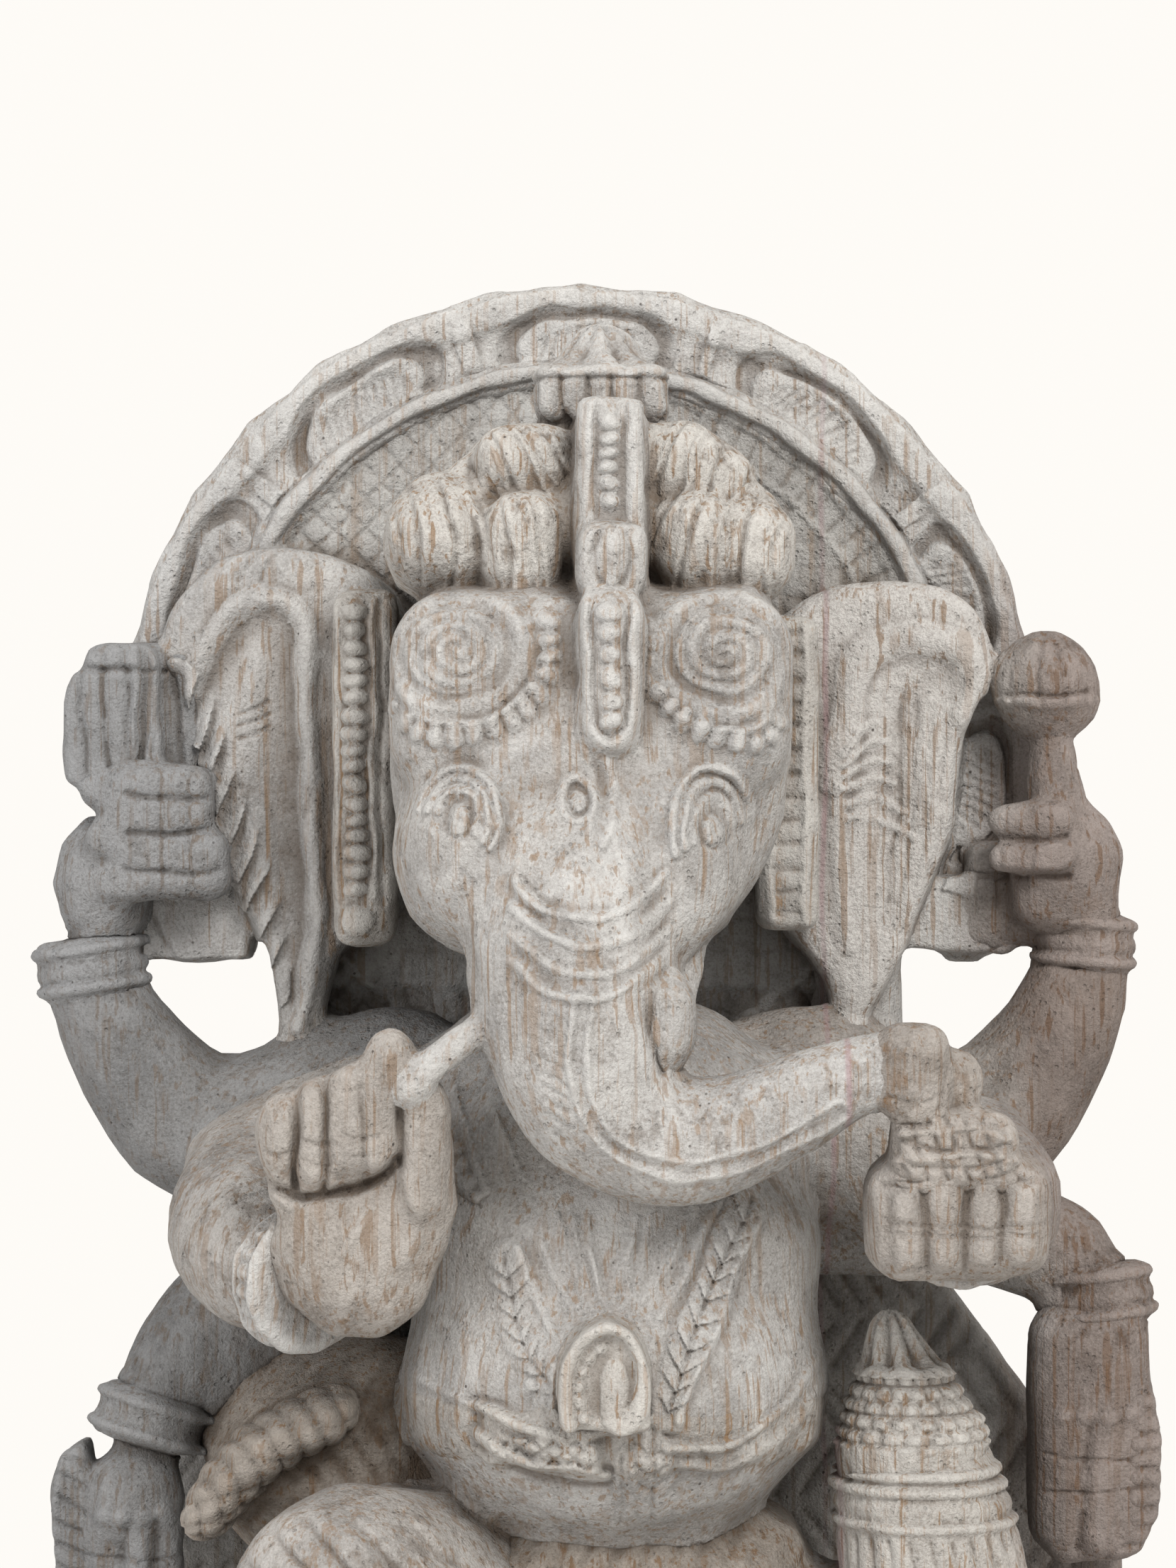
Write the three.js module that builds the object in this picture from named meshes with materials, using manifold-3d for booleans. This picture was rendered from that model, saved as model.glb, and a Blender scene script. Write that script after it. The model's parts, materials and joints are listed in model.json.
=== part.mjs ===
// Seated six-armed elephant-headed deity with a round halo, carved from one block of sandstone.
// Millimetres, +Z up, the figure faces -Y. The origin is the centre of the plinth's underside.
// Each carved member is a closed solid of its own, and meets its neighbours across a narrow gap.
import * as THREE from "three";
import { mergeVertices } from "three/addons/utils/BufferGeometryUtils.js";
import Module from "manifold-3d";

const wasm = await Module();
wasm.setup();

// ---- driving dimensions -------------------------------------------------------------------------
const GAP = 0.3; // left between two members that meet
const WIDTH = 305; // the block's width, which is the plinth's
const PLINTH_FRONT = -95;
const PLINTH_BACK = 95;
const PLINTH_STEP = 14; // height of the plinth's broad lower course
const PLINTH_TOP = 22;
const SEAT_TOP = 52;
const FIGURE_Y = 25; // the figure's middle plane stands this far behind the plinth's centre
const HALO = { x: -2.2, z: 328.8, radius: 125.8, ring: 102, ringWidth: 6.5, front: 24, back: 50 };
const STRUT = { front: 14, back: 46 }; // the squared feet on which the border ends
const SLAB = { front: 27, back: 62, top: 262 };
const HEAD_X = -3; // the head's own middle, left of the block's
const BROW_X = 5.5; // the crown strip and the brow pendant hang on this line
const STONE = { pale: 0xcfc8bb, warm: 0xbfae97, mauve: 0xb9a7a0, grey: 0xaaa69d };

// ---- shape helpers: each returns a manifold solid -----------------------------------------------
const vec = (point) => new THREE.Vector3(...point);

function solid(geometry) {
  const bare = geometry.clone();
  bare.deleteAttribute("normal");
  bare.deleteAttribute("uv");
  const merged = mergeVertices(bare, 1e-4);
  return new wasm.Manifold(
    new wasm.Mesh({
      numProp: 3,
      vertProperties: Float32Array.from(merged.attributes.position.array),
      triVerts: Uint32Array.from(merged.index.array),
    }),
  );
}

const join = (parts) => parts.reduce((whole, part) => whole.add(part));

function ellipsoid(centre, radii, grow = 0, sides = 10) {
  const ball = new THREE.SphereGeometry(1, sides, Math.round(sides / 2));
  ball.scale(radii[0] + grow, radii[1] + grow, radii[2] + grow);
  ball.translate(...centre);
  return solid(ball);
}

// A round-ended tube of changing radius along a smooth curve through the points.
// `deep` scales the section's depth, which starts out along Y.
function limb(points, radii, grow = 0, { sides = 8, spans = 2, deep = 1 } = {}) {
  const curve = new THREE.CatmullRomCurve3(points.map(vec), false, "catmullrom", 0.5);
  const steps = (points.length - 1) * spans;
  const capsule = new THREE.CapsuleGeometry(1, steps, 2, sides, steps);
  const frames = [];
  const across = new THREE.Vector3(0, 1, 0);
  for (let i = 0; i <= steps; i += 1) {
    const t = i / steps;
    const tangent = curve.getTangent(t);
    if (i === 0 && Math.abs(tangent.y) > 0.9) across.set(1, 0, 0);
    across.addScaledVector(tangent, -across.dot(tangent)).normalize();
    const side = new THREE.Vector3().crossVectors(tangent, across);
    const whole = Math.min(Math.floor(i / spans), points.length - 2);
    const radius = THREE.MathUtils.lerp(radii[whole], radii[whole + 1], i / spans - whole) + grow;
    frames.push({ centre: curve.getPoint(t), tangent, across: across.clone(), side, radius });
  }
  const position = capsule.attributes.position;
  const place = new THREE.Vector3();
  for (let i = 0; i < position.count; i += 1) {
    const along = position.getY(i) + steps / 2;
    const frame = frames[THREE.MathUtils.clamp(Math.round(along), 0, steps)];
    const past = Math.abs(along - THREE.MathUtils.clamp(along, 0, steps)) * Math.sign(along - 0.5);
    place.copy(frame.centre);
    place.addScaledVector(frame.side, position.getX(i) * frame.radius);
    place.addScaledVector(frame.across, position.getZ(i) * frame.radius * deep);
    place.addScaledVector(frame.tangent, past * frame.radius);
    position.setXYZ(i, place.x, place.y, place.z);
  }
  return solid(capsule);
}

function outlineShape(points, rounded, pieces) {
  if (!rounded) return new THREE.Shape(points.map(([x, z]) => new THREE.Vector2(x, z)));
  const loop = new THREE.CatmullRomCurve3(
    points.map(([x, z]) => new THREE.Vector3(x, z, 0)),
    true,
    "centripetal",
  );
  const around = loop.getPoints(pieces ?? points.length * 3);
  around.pop();
  return new THREE.Shape(around.map((p) => new THREE.Vector2(p.x, p.y)));
}

// An outline in the XZ plane given thickness from `front` to `back` along Y, its edges eased by `ease`.
function plate(points, front, back, grow = 0, { rounded = true, ease = 0, pieces } = {}) {
  const shape = outlineShape(points, rounded, pieces);
  const bevel = grow > 0 ? grow : ease;
  const slab = new THREE.ExtrudeGeometry(shape, {
    depth: back - front - (grow > 0 ? 0 : 2 * ease),
    bevelEnabled: bevel > 0,
    bevelThickness: bevel,
    bevelSize: bevel,
    bevelOffset: grow > 0 ? 0 : -ease,
    bevelSegments: 1,
    curveSegments: 8,
  });
  slab.rotateX(Math.PI / 2);
  slab.translate(0, back - (grow > 0 ? 0 : ease), 0);
  return solid(slab);
}

// A turned shape about a vertical line through (x, y), from [radius, height] pairs.
function turned(profile, x, y, grow = 0, { sides = 24, wide = 1, lean = 0 } = {}) {
  const last = profile.length - 1;
  const points = profile.map(([r, z], i) => {
    const rise = i <= 1 ? -grow : i >= last - 1 ? grow : 0;
    return new THREE.Vector2(r > 0 ? r + grow : 0, z + rise);
  });
  const lathe = new THREE.LatheGeometry(points, sides);
  lathe.rotateX(Math.PI / 2);
  lathe.scale(wide, 1, 1);
  const foot = profile[0][1];
  lathe.translate(0, 0, -foot);
  lathe.rotateY(lean);
  lathe.translate(x, y, foot);
  return solid(lathe);
}

const arc = (cx, cz, radius, from, to, count) =>
  Array.from({ length: count + 1 }, (_, i) => {
    const angle = from + ((to - from) * i) / count;
    return [cx + radius * Math.cos(angle), cz + radius * Math.sin(angle)];
  });

// ---- base and back ------------------------------------------------------------------------------
// The plinth is given in the figure's frame, so that every member shares one frame.
function plinth(grow) {
  const front = PLINTH_FRONT - FIGURE_Y;
  const back = PLINTH_BACK - FIGURE_Y;
  const course = (inset, z0, z1) => {
    const shape = outlineShape(
      [
        [-WIDTH / 2 + inset - grow, front + inset - grow],
        [WIDTH / 2 - inset + grow, front + inset - grow],
        [WIDTH / 2 - inset + grow, back - inset + grow],
        [-WIDTH / 2 + inset - grow, back - inset + grow],
      ],
      false,
    );
    const slab = new THREE.ExtrudeGeometry(shape, { depth: z1 - z0, bevelEnabled: false });
    slab.translate(0, 0, z0);
    return solid(slab);
  };
  return course(0, 0, PLINTH_STEP).add(course(5, PLINTH_STEP - 2, PLINTH_TOP + grow));
}

function lotusSeat(grow) {
  const profile = [
    [0, PLINTH_TOP],
    [66, PLINTH_TOP],
    [69, 29],
    [62, 36],
    [61, 39],
    [68, 46],
    [66, SEAT_TOP],
    [0, SEAT_TOP],
  ];
  return turned(profile, 0, -45, grow, { sides: 36, wide: 1.95 });
}

function backSlab(grow) {
  const outline = [
    [-148, PLINTH_TOP + GAP],
    [148, PLINTH_TOP + GAP],
    [147, 112],
    [124, 147],
    [99, 181],
    [76, 214],
    [64, 240],
    [58, SLAB.top],
    [-62, SLAB.top],
    [-66, 240],
    [-82, 212],
    [-104, 184],
    [-122, 150],
    [-145, 112],
  ];
  return plate(outline, SLAB.front, SLAB.back, grow, { rounded: false, ease: 2 });
}

function haloDisc(grow) {
  const low = SLAB.top + GAP;
  const reach = HALO.ring - HALO.ringWidth / 2 - GAP;
  const rise = Math.asin((low - HALO.z) / reach);
  const outline = arc(HALO.x, HALO.z, reach, rise, Math.PI - rise, 28);
  return plate(outline, HALO.front, HALO.back, grow, { rounded: false });
}

function haloBand(inner, outer, from, to, count, front, grow) {
  const outline = [
    ...arc(HALO.x, HALO.z, outer, from, to, count),
    ...arc(HALO.x, HALO.z, inner, to, from, count),
  ];
  return plate(outline, front, HALO.back, grow, { rounded: false });
}

const HALO_END = -0.32; // angle at which the border stops, behind the raised hands

const haloRing = (grow) =>
  haloBand(
    HALO.ring - HALO.ringWidth / 2,
    HALO.ring + HALO.ringWidth / 2,
    HALO_END - 0.08,
    Math.PI - HALO_END + 0.08,
    28,
    HALO.front - 3.5,
    grow,
  );

function haloBorder(grow) {
  const lobes = 19;
  const from = HALO_END;
  const to = Math.PI - HALO_END;
  const steps = lobes * 2;
  const outer = Array.from({ length: steps + 1 }, (_, i) => {
    const angle = from + ((to - from) * i) / steps;
    const bulge = i % 2 === 0 ? -2.2 : 0.5;
    const reach = HALO.radius + bulge;
    return [HALO.x + reach * Math.cos(angle), HALO.z + reach * Math.sin(angle)];
  });
  const inner = HALO.ring + HALO.ringWidth / 2 + GAP;
  const outline = [...outer, ...arc(HALO.x, HALO.z, inner, to, from, 26)];
  const foot = (corners) => plate(corners, STRUT.front, STRUT.back, grow, { rounded: false });
  return join([
    plate(outline, HALO.front, HALO.back, grow, { rounded: false }),
    foot([[-121, 270], [-92, 270], [-89, 291], [-122, 291]]),
    foot([[86, 273], [115, 272], [117, 293], [86, 293]]),
  ]);
}

// ---- head, crown and trunk ----------------------------------------------------------------------
const head = (grow) =>
  join([
    ellipsoid([HEAD_X, -28, 328], [47.5, 45, 44], grow, 14),
    ellipsoid([HEAD_X, -40, 295], [46, 36, 29], grow, 12),
    ellipsoid([-29, -55, 350], [20, 20, 17], grow, 10),
    ellipsoid([34, -55, 351], [17, 20, 17], grow, 10),
  ]);

const TRUNK = [
  [-3, -58, 304, 31],
  [-4, -78, 281, 28.5],
  [-3, -86, 263, 26],
  [-1, -88, 252, 24.5],
  [3, -88.5, 241, 22],
  [11, -89, 233, 19],
  [23, -90, 229.5, 16.8],
  [36, -91, 232, 15],
  [48, -91, 237, 13.5],
  [60, -91, 243, 11.5],
  [70, -91, 248, 9],
];
const trunkRun = (from, to, grow) => {
  const run = TRUNK.slice(from, to);
  return limb(run.map((p) => p.slice(0, 3)), run.map((p) => p[3]), grow, { sides: 12 });
};
const trunkRoot = (grow) => trunkRun(0, 3, grow);
const trunkCurl = (grow) => trunkRun(2, TRUNK.length, grow);

const tuskStub = (grow) => limb([[24, -66, 276], [22, -80, 262], [21, -84, 251]], [6, 5.5, 4.6], grow);
const brokenTusk = (grow) =>
  limb([[-44, -95, 243], [-37, -94, 250], [-27, -92, 257]], [4.6, 4.4, 4.2], grow);

const EAR = { front: 3, back: HALO.front - GAP };
function earLeft(grow) {
  const outline = [
    [-114.5, 361], [-108, 371], [-98, 380], [-84, 382], [-60, 376], [-48, 362], [-46, 318], [-52, 282],
    [-66, 274], [-73, 250], [-78, 242], [-83, 246], [-85, 269], [-91, 281], [-99, 298], [-103, 322],
    [-106, 338], [-112, 348],
  ];
  return plate(outline, EAR.front, EAR.back, grow, { ease: 2.5, pieces: 40 });
}

function earRight(grow) {
  const outline = [
    [46, 356], [66, 371], [96, 371], [106, 363], [109, 352], [102, 334], [99.5, 314], [99, 305],
    [91, 288], [84, 270], [71, 252], [62, 268], [50, 284], [43, 318],
  ];
  return plate(outline, EAR.front, EAR.back, grow, { ease: 2.5, pieces: 36 });
}

const lappetLeft = (grow) =>
  limb([[-61, -3, 364], [-61.5, -4, 320], [-60, -4, 280]], [5, 4.6, 4.4], grow, { sides: 10, deep: 1.3 });
const lappetRight = (grow) =>
  limb([[52, -3, 357], [52.5, -4, 320], [53, -4, 284]], [5, 4.6, 4.4], grow, { sides: 10, deep: 1.3 });

const crownCore = (grow) => ellipsoid([3, 2, 392], [38, 24, 26], grow);
const finial = (grow) =>
  turned([[0, 410], [12, 410], [13, 415], [15.5, 423], [12, 428], [4, 433], [0, 437]], 3, -27, grow, {
    sides: 20,
  });
const crownStrip = (grow) =>
  plate([[-0.5, 379], [10, 379], [9, 414], [0.5, 414]], -50, -14, grow, { rounded: false, ease: 1 });
const crownKnob = (grow) => ellipsoid([BROW_X, -62, 371.5], [8, 13, 6], grow, 10);
const browPendant = (grow) =>
  plate(
    [
      [BROW_X, 367],
      [BROW_X + 6.5, 360],
      [BROW_X + 6, 334],
      [BROW_X, 324],
      [BROW_X - 6, 334],
      [BROW_X - 6.5, 360],
    ],
    -80,
    -52,
    grow,
    { pieces: 16 },
  );

const hairUpperLeft = (grow) => ellipsoid([-16, -20, 401], [17, 24, 10.5], grow);
const hairUpperRight = (grow) => ellipsoid([25, -20, 400], [17, 24, 10.5], grow);
const hairLowerLeft = (grow) =>
  ellipsoid([-38, -22, 380], [15, 30, 15], grow).add(ellipsoid([-16, -31, 380], [12, 28, 15], grow));
const hairLowerRight = (grow) =>
  ellipsoid([37, -22, 378], [16, 30, 14], grow).add(ellipsoid([18, -31, 380], [10, 28, 14], grow));

// ---- torso and lap ------------------------------------------------------------------------------
const chest = (grow) => ellipsoid([2, -14, 220], [62, 58, 46], grow, 12);
const belly = (grow) => ellipsoid([7, -36, 166], [56, 57, 48], grow, 16);
const hips = (grow) => ellipsoid([4, -22, 100], [66, 52, 44], grow, 10);

function waistBand(grow) {
  const band = plate([[-70, 148], [84, 146], [84, 160], [-70, 162]], -110, 40, grow, { rounded: false });
  return ellipsoid([7, -36, 166], [58.5, 59.5, 50.5], grow, 16).intersect(band);
}

const buckle = (grow) =>
  plate(
    [[-7, 159], [-7, 174], [-2, 183], [4.4, 187], [11, 183], [15.5, 174], [15.5, 159]],
    -101,
    -60,
    grow,
    { rounded: false },
  );

const legLeft = (grow) =>
  limb([[-24, -12, 98], [-44, -48, 106], [-61, -76, 112]], [30, 31, 31], grow, { sides: 12 }).add(
    limb([[-60, -78, 104], [-54, -90, 84], [-47, -96, 66]], [24, 20, 14], grow, { sides: 10 }),
  );
const footLeft = (grow) =>
  limb([[-46, -84, 62], [-44, -100, 61], [-42, -110, 59]], [10, 9, 7.5], grow, { sides: 12 });
const legRight = (grow) =>
  limb([[30, -12, 92], [64, -34, 86], [97, -54, 79]], [32, 28, 26], grow, { sides: 12 }).add(
    limb([[96, -62, 76], [60, -82, 73], [24, -92, 70]], [22, 19, 16], grow, { sides: 10 }),
  );
const footRight = (grow) =>
  limb([[22, -96, 64], [2, -101, 62], [-18, -104, 61]], [11, 10, 8], grow, { sides: 12 });

const lapGarland = (grow) =>
  limb([[-99, -34, 128], [-86, -38, 145], [-66, -44, 156]], [9, 9.5, 9], grow, { sides: 10, deep: 1.6 });

const POT = { x: 92, y: -44, lean: -0.17 };
const pot = (grow) =>
  turned(
    [[0, 96], [21, 96], [24.5, 108], [24, 118], [23, 126], [21, 143], [0, 143]],
    POT.x,
    POT.y,
    grow,
    { sides: 20, lean: POT.lean },
  );
const potLid = (grow) =>
  turned([[0, 143.4], [20, 143.4], [20, 149], [14, 162], [9, 170], [4, 180], [0, 184]], 84, POT.y, grow, {
    sides: 20,
    lean: POT.lean,
  });

// ---- arms ---------------------------------------------------------------------------------------
// Points run from the shoulder to the wrist; the bracelet and the hand carry on from there.
const ARMS = {
  upper_left: {
    run: [[-50, 8, 236], [-98, 14, 222], [-118, 14, 236], [-132, 12, 258]],
    radii: [24, 23, 19, 14.5],
    band: { at: [-134.5, 12, 268.5], axis: [-0.15, 0, 1], radius: 15.5, height: 17 },
  },
  upper_right: {
    run: [[52, 8, 236], [100, 14, 223], [121, 14, 240], [133.5, 12, 264]],
    radii: [24, 23, 19, 14.5],
    band: { at: [135, 12, 275.5], axis: [0.08, 0, 1], radius: 13.5, height: 16 },
  },
  lower_left: {
    run: [[-54, 6, 206], [-84, 2, 185], [-109, -4, 163]],
    radii: [24, 22, 16],
    band: { at: [-116, -8, 149], axis: [0.3, 0.1, 1], radius: 16, height: 15 },
  },
  lower_right: {
    run: [[56, 6, 208], [98, 3, 202], [128, -2, 192]],
    radii: [24, 17, 15],
    band: { at: [136.5, -4, 182], axis: [-0.12, 0.05, 1], radius: 15, height: 17 },
  },
  front_left: {
    run: [[-50, -6, 228], [-86, -14, 208], [-85, -44, 199], [-78, -58, 195]],
    radii: [22, 25, 23, 19],
    band: { at: [-72, -68, 193], axis: [0.5, -0.75, -0.1], radius: 19, height: 10 },
  },
  front_right: {
    run: [[52, -6, 228], [100, -14, 212], [99, -42, 208], [96, -54, 208]],
    radii: [22, 25, 22, 19],
    band: { at: [94, -66, 209], axis: [-0.1, -1, 0.05], radius: 19, height: 10 },
  },
};

const arm = (name) => (grow) => limb(ARMS[name].run, ARMS[name].radii, grow, { sides: 10 });

const bracelet = (name) => (grow) => {
  const { at, axis, radius, height } = ARMS[name].band;
  const half = height / 2 + grow;
  const outer = radius + grow;
  const profile = [
    [0, -half],
    [outer - 1.5, -half],
    [outer, -half / 2],
    [outer - 1, 0],
    [outer, half / 2],
    [outer - 1.5, half],
    [0, half],
  ];
  const ring = new THREE.LatheGeometry(profile.map(([r, y]) => new THREE.Vector2(r, y)), 12);
  const up = new THREE.Vector3(0, 1, 0);
  const turn = new THREE.Quaternion().setFromUnitVectors(up, vec(axis).normalize());
  ring.applyQuaternion(turn);
  ring.translate(...at);
  return solid(ring);
};

const finger = (from, to, r0, r1, grow) => limb([from, to], [r0, r1], grow, { sides: 6, spans: 1 });

function handUpperLeft(grow) {
  return join([
    ellipsoid([-131, 10, 291], [14, 15, 20], grow),
    finger([-130, 0, 316], [-108, -1, 313], 6.5, 6, grow),
    finger([-128, -3, 304], [-102, -3, 301], 7, 6.2, grow),
    finger([-126, -3, 292], [-101, -2, 292], 6.6, 5.8, grow),
  ]);
}

function handUpperRight(grow) {
  return join([
    ellipsoid([129, 9, 298], [15, 15, 18], grow),
    finger([125, -3, 309], [111, -2, 308], 6, 5, grow),
    finger([126, -4, 299], [111, -3, 298], 6, 5, grow),
    finger([126, 4, 313], [125, 6, 328], 8.5, 7, grow),
  ]);
}

function handLowerLeft(grow) {
  return join([
    ellipsoid([-120, -9, 128], [14, 13, 17], grow),
    finger([-128, -13, 122], [-127, -12, 92], 5.5, 4.5, grow),
    finger([-119, -15, 120], [-118, -14, 88], 5.8, 4.8, grow),
    finger([-111, -13, 122], [-111, -12, 94], 5, 4, grow),
  ]);
}

function handLowerRight(grow) {
  return join([
    ellipsoid([135, -7, 155], [15.5, 14, 20], grow),
    finger([126, -13, 150], [127, -13, 116], 5.6, 4.8, grow),
    finger([134, -17, 148], [135, -17, 120], 5.8, 5, grow),
  ]);
}

function handFrontLeft(grow) {
  return join([
    ellipsoid([-58, -78, 202], [21, 11, 25], grow),
    ellipsoid([-47, -80, 212], [14.5, 10, 17], grow),
    finger([-75, -82, 216], [-77, -84, 234], 5.6, 5, grow),
    finger([-66, -84, 218], [-66.5, -87, 240], 6, 5.2, grow),
    finger([-57, -85, 220], [-55.5, -88, 243], 6.2, 5.4, grow),
    finger([-51, -85, 224], [-48.5, -89, 250], 6, 5.4, grow),
    finger([-39, -82, 212], [-39.5, -87, 236], 7, 6, grow),
  ]);
}

function handFrontRight(grow) {
  const fingers = [78, 88, 97.5, 107.5].map((x, i) =>
    finger([x, -92, 219 - i * 0.5], [x, -93, 203 + i * 0.8], 5.4, 4.9, grow),
  );
  return join([ellipsoid([92, -82, 212], [24, 14, 19], grow), ...fingers]);
}

// ---- what the hands hold ------------------------------------------------------------------------
const reedBlock = (grow) =>
  plate(
    [
      [-140, 318],
      [-141, 342],
      [-138, 348],
      [-135, 348],
      [-134, 354],
      [-130, 356],
      [-118, 355],
      [-115, 350],
      [-114, 318],
    ],
    -4,
    HALO.front - GAP,
    grow,
    { rounded: false, ease: 1.5 },
  );
const lotusBud = (grow) => ellipsoid([123.5, 8, 344], [15.5, 14, 16], grow, 14);
const leafBlade = (grow) =>
  plate(
    [[-133, 144], [-140, 140], [-143, 130], [-142, 112], [-139, 98], [-134, 86], [-131, 92], [-131, 130]],
    -14,
    2,
    grow,
    { rounded: false, ease: 1.5 },
  );
const ridgedTablet = (grow) =>
  plate([[138, 160], [150, 158], [152, 146], [151, 124], [146, 116], [138, 114]], -18, 4, grow, {
    rounded: false,
    ease: 1.5,
  });
const sweetBowl = (grow) => ellipsoid([90.5, -86, 228], [16, 13, 10], grow);
const sweets = (grow) =>
  ellipsoid([80, -90, 247], [9, 10, 12], grow).add(ellipsoid([92, -86, 244], [7, 8, 8.5], grow, 12));

// ---- assembly -----------------------------------------------------------------------------------
// In order: an earlier member keeps its whole shape, and a later one is cut to meet it.
const MEMBERS = [
  ["plinth", STONE.grey, plinth],
  ["trunk_root", STONE.pale, trunkRoot],
  ["trunk_curl", STONE.pale, trunkCurl],
  ["brow_pendant", STONE.pale, browPendant],
  ["crown_knob", STONE.pale, crownKnob],
  ["crown_strip", STONE.pale, crownStrip],
  ["crown_finial", STONE.pale, finial],
  ["tusk_stub", STONE.pale, tuskStub],
  ["hair_upper_left", STONE.warm, hairUpperLeft],
  ["hair_upper_right", STONE.warm, hairUpperRight],
  ["hair_lower_left", STONE.warm, hairLowerLeft],
  ["hair_lower_right", STONE.warm, hairLowerRight],
  ["head", STONE.pale, head],
  ["crown_core", STONE.warm, crownCore],
  ["broken_tusk", STONE.pale, brokenTusk],
  ["sweets", STONE.mauve, sweets],
  ["sweet_bowl", STONE.mauve, sweetBowl],
  ["bracelet_front_left", STONE.pale, bracelet("front_left")],
  ["hand_front_left", STONE.pale, handFrontLeft],
  ["bracelet_front_right", STONE.mauve, bracelet("front_right")],
  ["hand_front_right", STONE.mauve, handFrontRight],
  ["waist_buckle", STONE.warm, buckle],
  ["belly", STONE.pale, belly],
  ["waist_band", STONE.warm, waistBand],
  ["arm_front_left", STONE.pale, arm("front_left")],
  ["arm_front_right", STONE.mauve, arm("front_right")],
  ["chest", STONE.pale, chest],
  ["leg_left", STONE.pale, legLeft],
  ["leg_right", STONE.mauve, legRight],
  ["lotus_seat", STONE.grey, lotusSeat],
  ["foot_left", STONE.pale, footLeft],
  ["foot_right", STONE.mauve, footRight],
  ["pot_lid", STONE.warm, potLid],
  ["pot", STONE.warm, pot],
  ["reed_block", STONE.grey, reedBlock],
  ["lotus_bud", STONE.mauve, lotusBud],
  ["bracelet_upper_left", STONE.grey, bracelet("upper_left")],
  ["hand_upper_left", STONE.grey, handUpperLeft],
  ["arm_upper_left", STONE.grey, arm("upper_left")],
  ["bracelet_upper_right", STONE.mauve, bracelet("upper_right")],
  ["hand_upper_right", STONE.mauve, handUpperRight],
  ["arm_upper_right", STONE.mauve, arm("upper_right")],
  ["bracelet_lower_left", STONE.grey, bracelet("lower_left")],
  ["hand_lower_left", STONE.grey, handLowerLeft],
  ["arm_lower_left", STONE.grey, arm("lower_left")],
  ["bracelet_lower_right", STONE.mauve, bracelet("lower_right")],
  ["ridged_tablet", STONE.mauve, ridgedTablet],
  ["hand_lower_right", STONE.mauve, handLowerRight],
  ["arm_lower_right", STONE.mauve, arm("lower_right")],
  ["leaf_blade", STONE.grey, leafBlade],
  ["hips", STONE.grey, hips],
  ["lap_garland", STONE.warm, lapGarland],
  ["lappet_left", STONE.warm, lappetLeft],
  ["lappet_right", STONE.warm, lappetRight],
  ["ear_left", STONE.pale, earLeft],
  ["ear_right", STONE.mauve, earRight],
  ["halo_ring", STONE.pale, haloRing],
  ["halo_disc", STONE.grey, haloDisc],
  ["halo_border", STONE.pale, haloBorder],
  ["back_slab", STONE.grey, backSlab],
];

const boxesMeet = (a, b) => [0, 1, 2].every((k) => a.min[k] < b.max[k] && b.min[k] < a.max[k]);

// A cut can leave a sliver beside the member, which is dropped.
const mainBody = (cut) =>
  cut.decompose().reduce((largest, piece) => (piece.volume() > largest.volume() ? piece : largest));

function meshOf(name, colour, body) {
  const { vertProperties, triVerts } = body.getMesh();
  const geometry = new THREE.BufferGeometry();
  geometry.setAttribute("position", new THREE.BufferAttribute(vertProperties, 3));
  geometry.setIndex(new THREE.BufferAttribute(triVerts, 1));
  geometry.computeVertexNormals();
  const mesh = new THREE.Mesh(
    geometry,
    new THREE.MeshStandardMaterial({ color: colour, roughness: 0.9, metalness: 0 }),
  );
  mesh.name = name;
  return mesh;
}

const idol = new THREE.Group();
idol.position.y = FIGURE_Y;
const cutters = [];
for (const [name, colour, shape] of MEMBERS) {
  let body = shape(0);
  const box = body.boundingBox();
  for (const cutter of cutters) {
    if (boxesMeet(box, cutter.boundingBox())) body = body.subtract(cutter);
  }
  cutters.push(shape(GAP));
  idol.add(meshOf(name, colour, mainBody(body)));
}

export default idol;
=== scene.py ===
import json
import math

import bpy
import numpy as np
import openvdb as vdb
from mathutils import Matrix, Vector


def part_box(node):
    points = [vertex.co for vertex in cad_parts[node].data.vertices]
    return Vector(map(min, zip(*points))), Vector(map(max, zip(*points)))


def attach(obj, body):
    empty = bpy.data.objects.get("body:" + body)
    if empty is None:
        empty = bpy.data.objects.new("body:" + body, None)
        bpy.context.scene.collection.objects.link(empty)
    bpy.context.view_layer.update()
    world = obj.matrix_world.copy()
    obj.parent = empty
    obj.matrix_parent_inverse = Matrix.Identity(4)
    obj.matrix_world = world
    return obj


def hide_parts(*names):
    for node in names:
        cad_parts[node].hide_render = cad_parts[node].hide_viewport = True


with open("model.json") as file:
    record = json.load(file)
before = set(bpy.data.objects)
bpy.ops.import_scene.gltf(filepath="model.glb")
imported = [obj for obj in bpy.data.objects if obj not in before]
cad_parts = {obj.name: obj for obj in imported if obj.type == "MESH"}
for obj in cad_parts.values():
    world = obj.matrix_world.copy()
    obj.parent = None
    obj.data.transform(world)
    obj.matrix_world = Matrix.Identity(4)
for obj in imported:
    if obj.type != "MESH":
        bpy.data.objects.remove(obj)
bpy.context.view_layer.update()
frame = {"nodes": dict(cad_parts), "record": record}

# The idol is sculpted as distance fields, in millimetres. Each CAD node becomes a level set on one
# lattice, neighbours are melted together, the carving is cut into the skin, and each member is
# meshed on its own, dipping under its neighbours where they meet.
MM = 0.001
LATTICE = 1.1
BAND = 8  # depth of the distance field on each side of a surface
PAD = 5  # room around a member for carving that stands proud
MELT = 1.8  # how far two members flow into each other
DIP_SLOPE = 0.15  # how fast a member's skin sinks just past its neighbour's edge
FLAT_MERGE = 0.12  # how freely the mesher merges faces where the stone is smooth
PETAL_MERGE = 0.3  # and on the lotus seat
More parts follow.
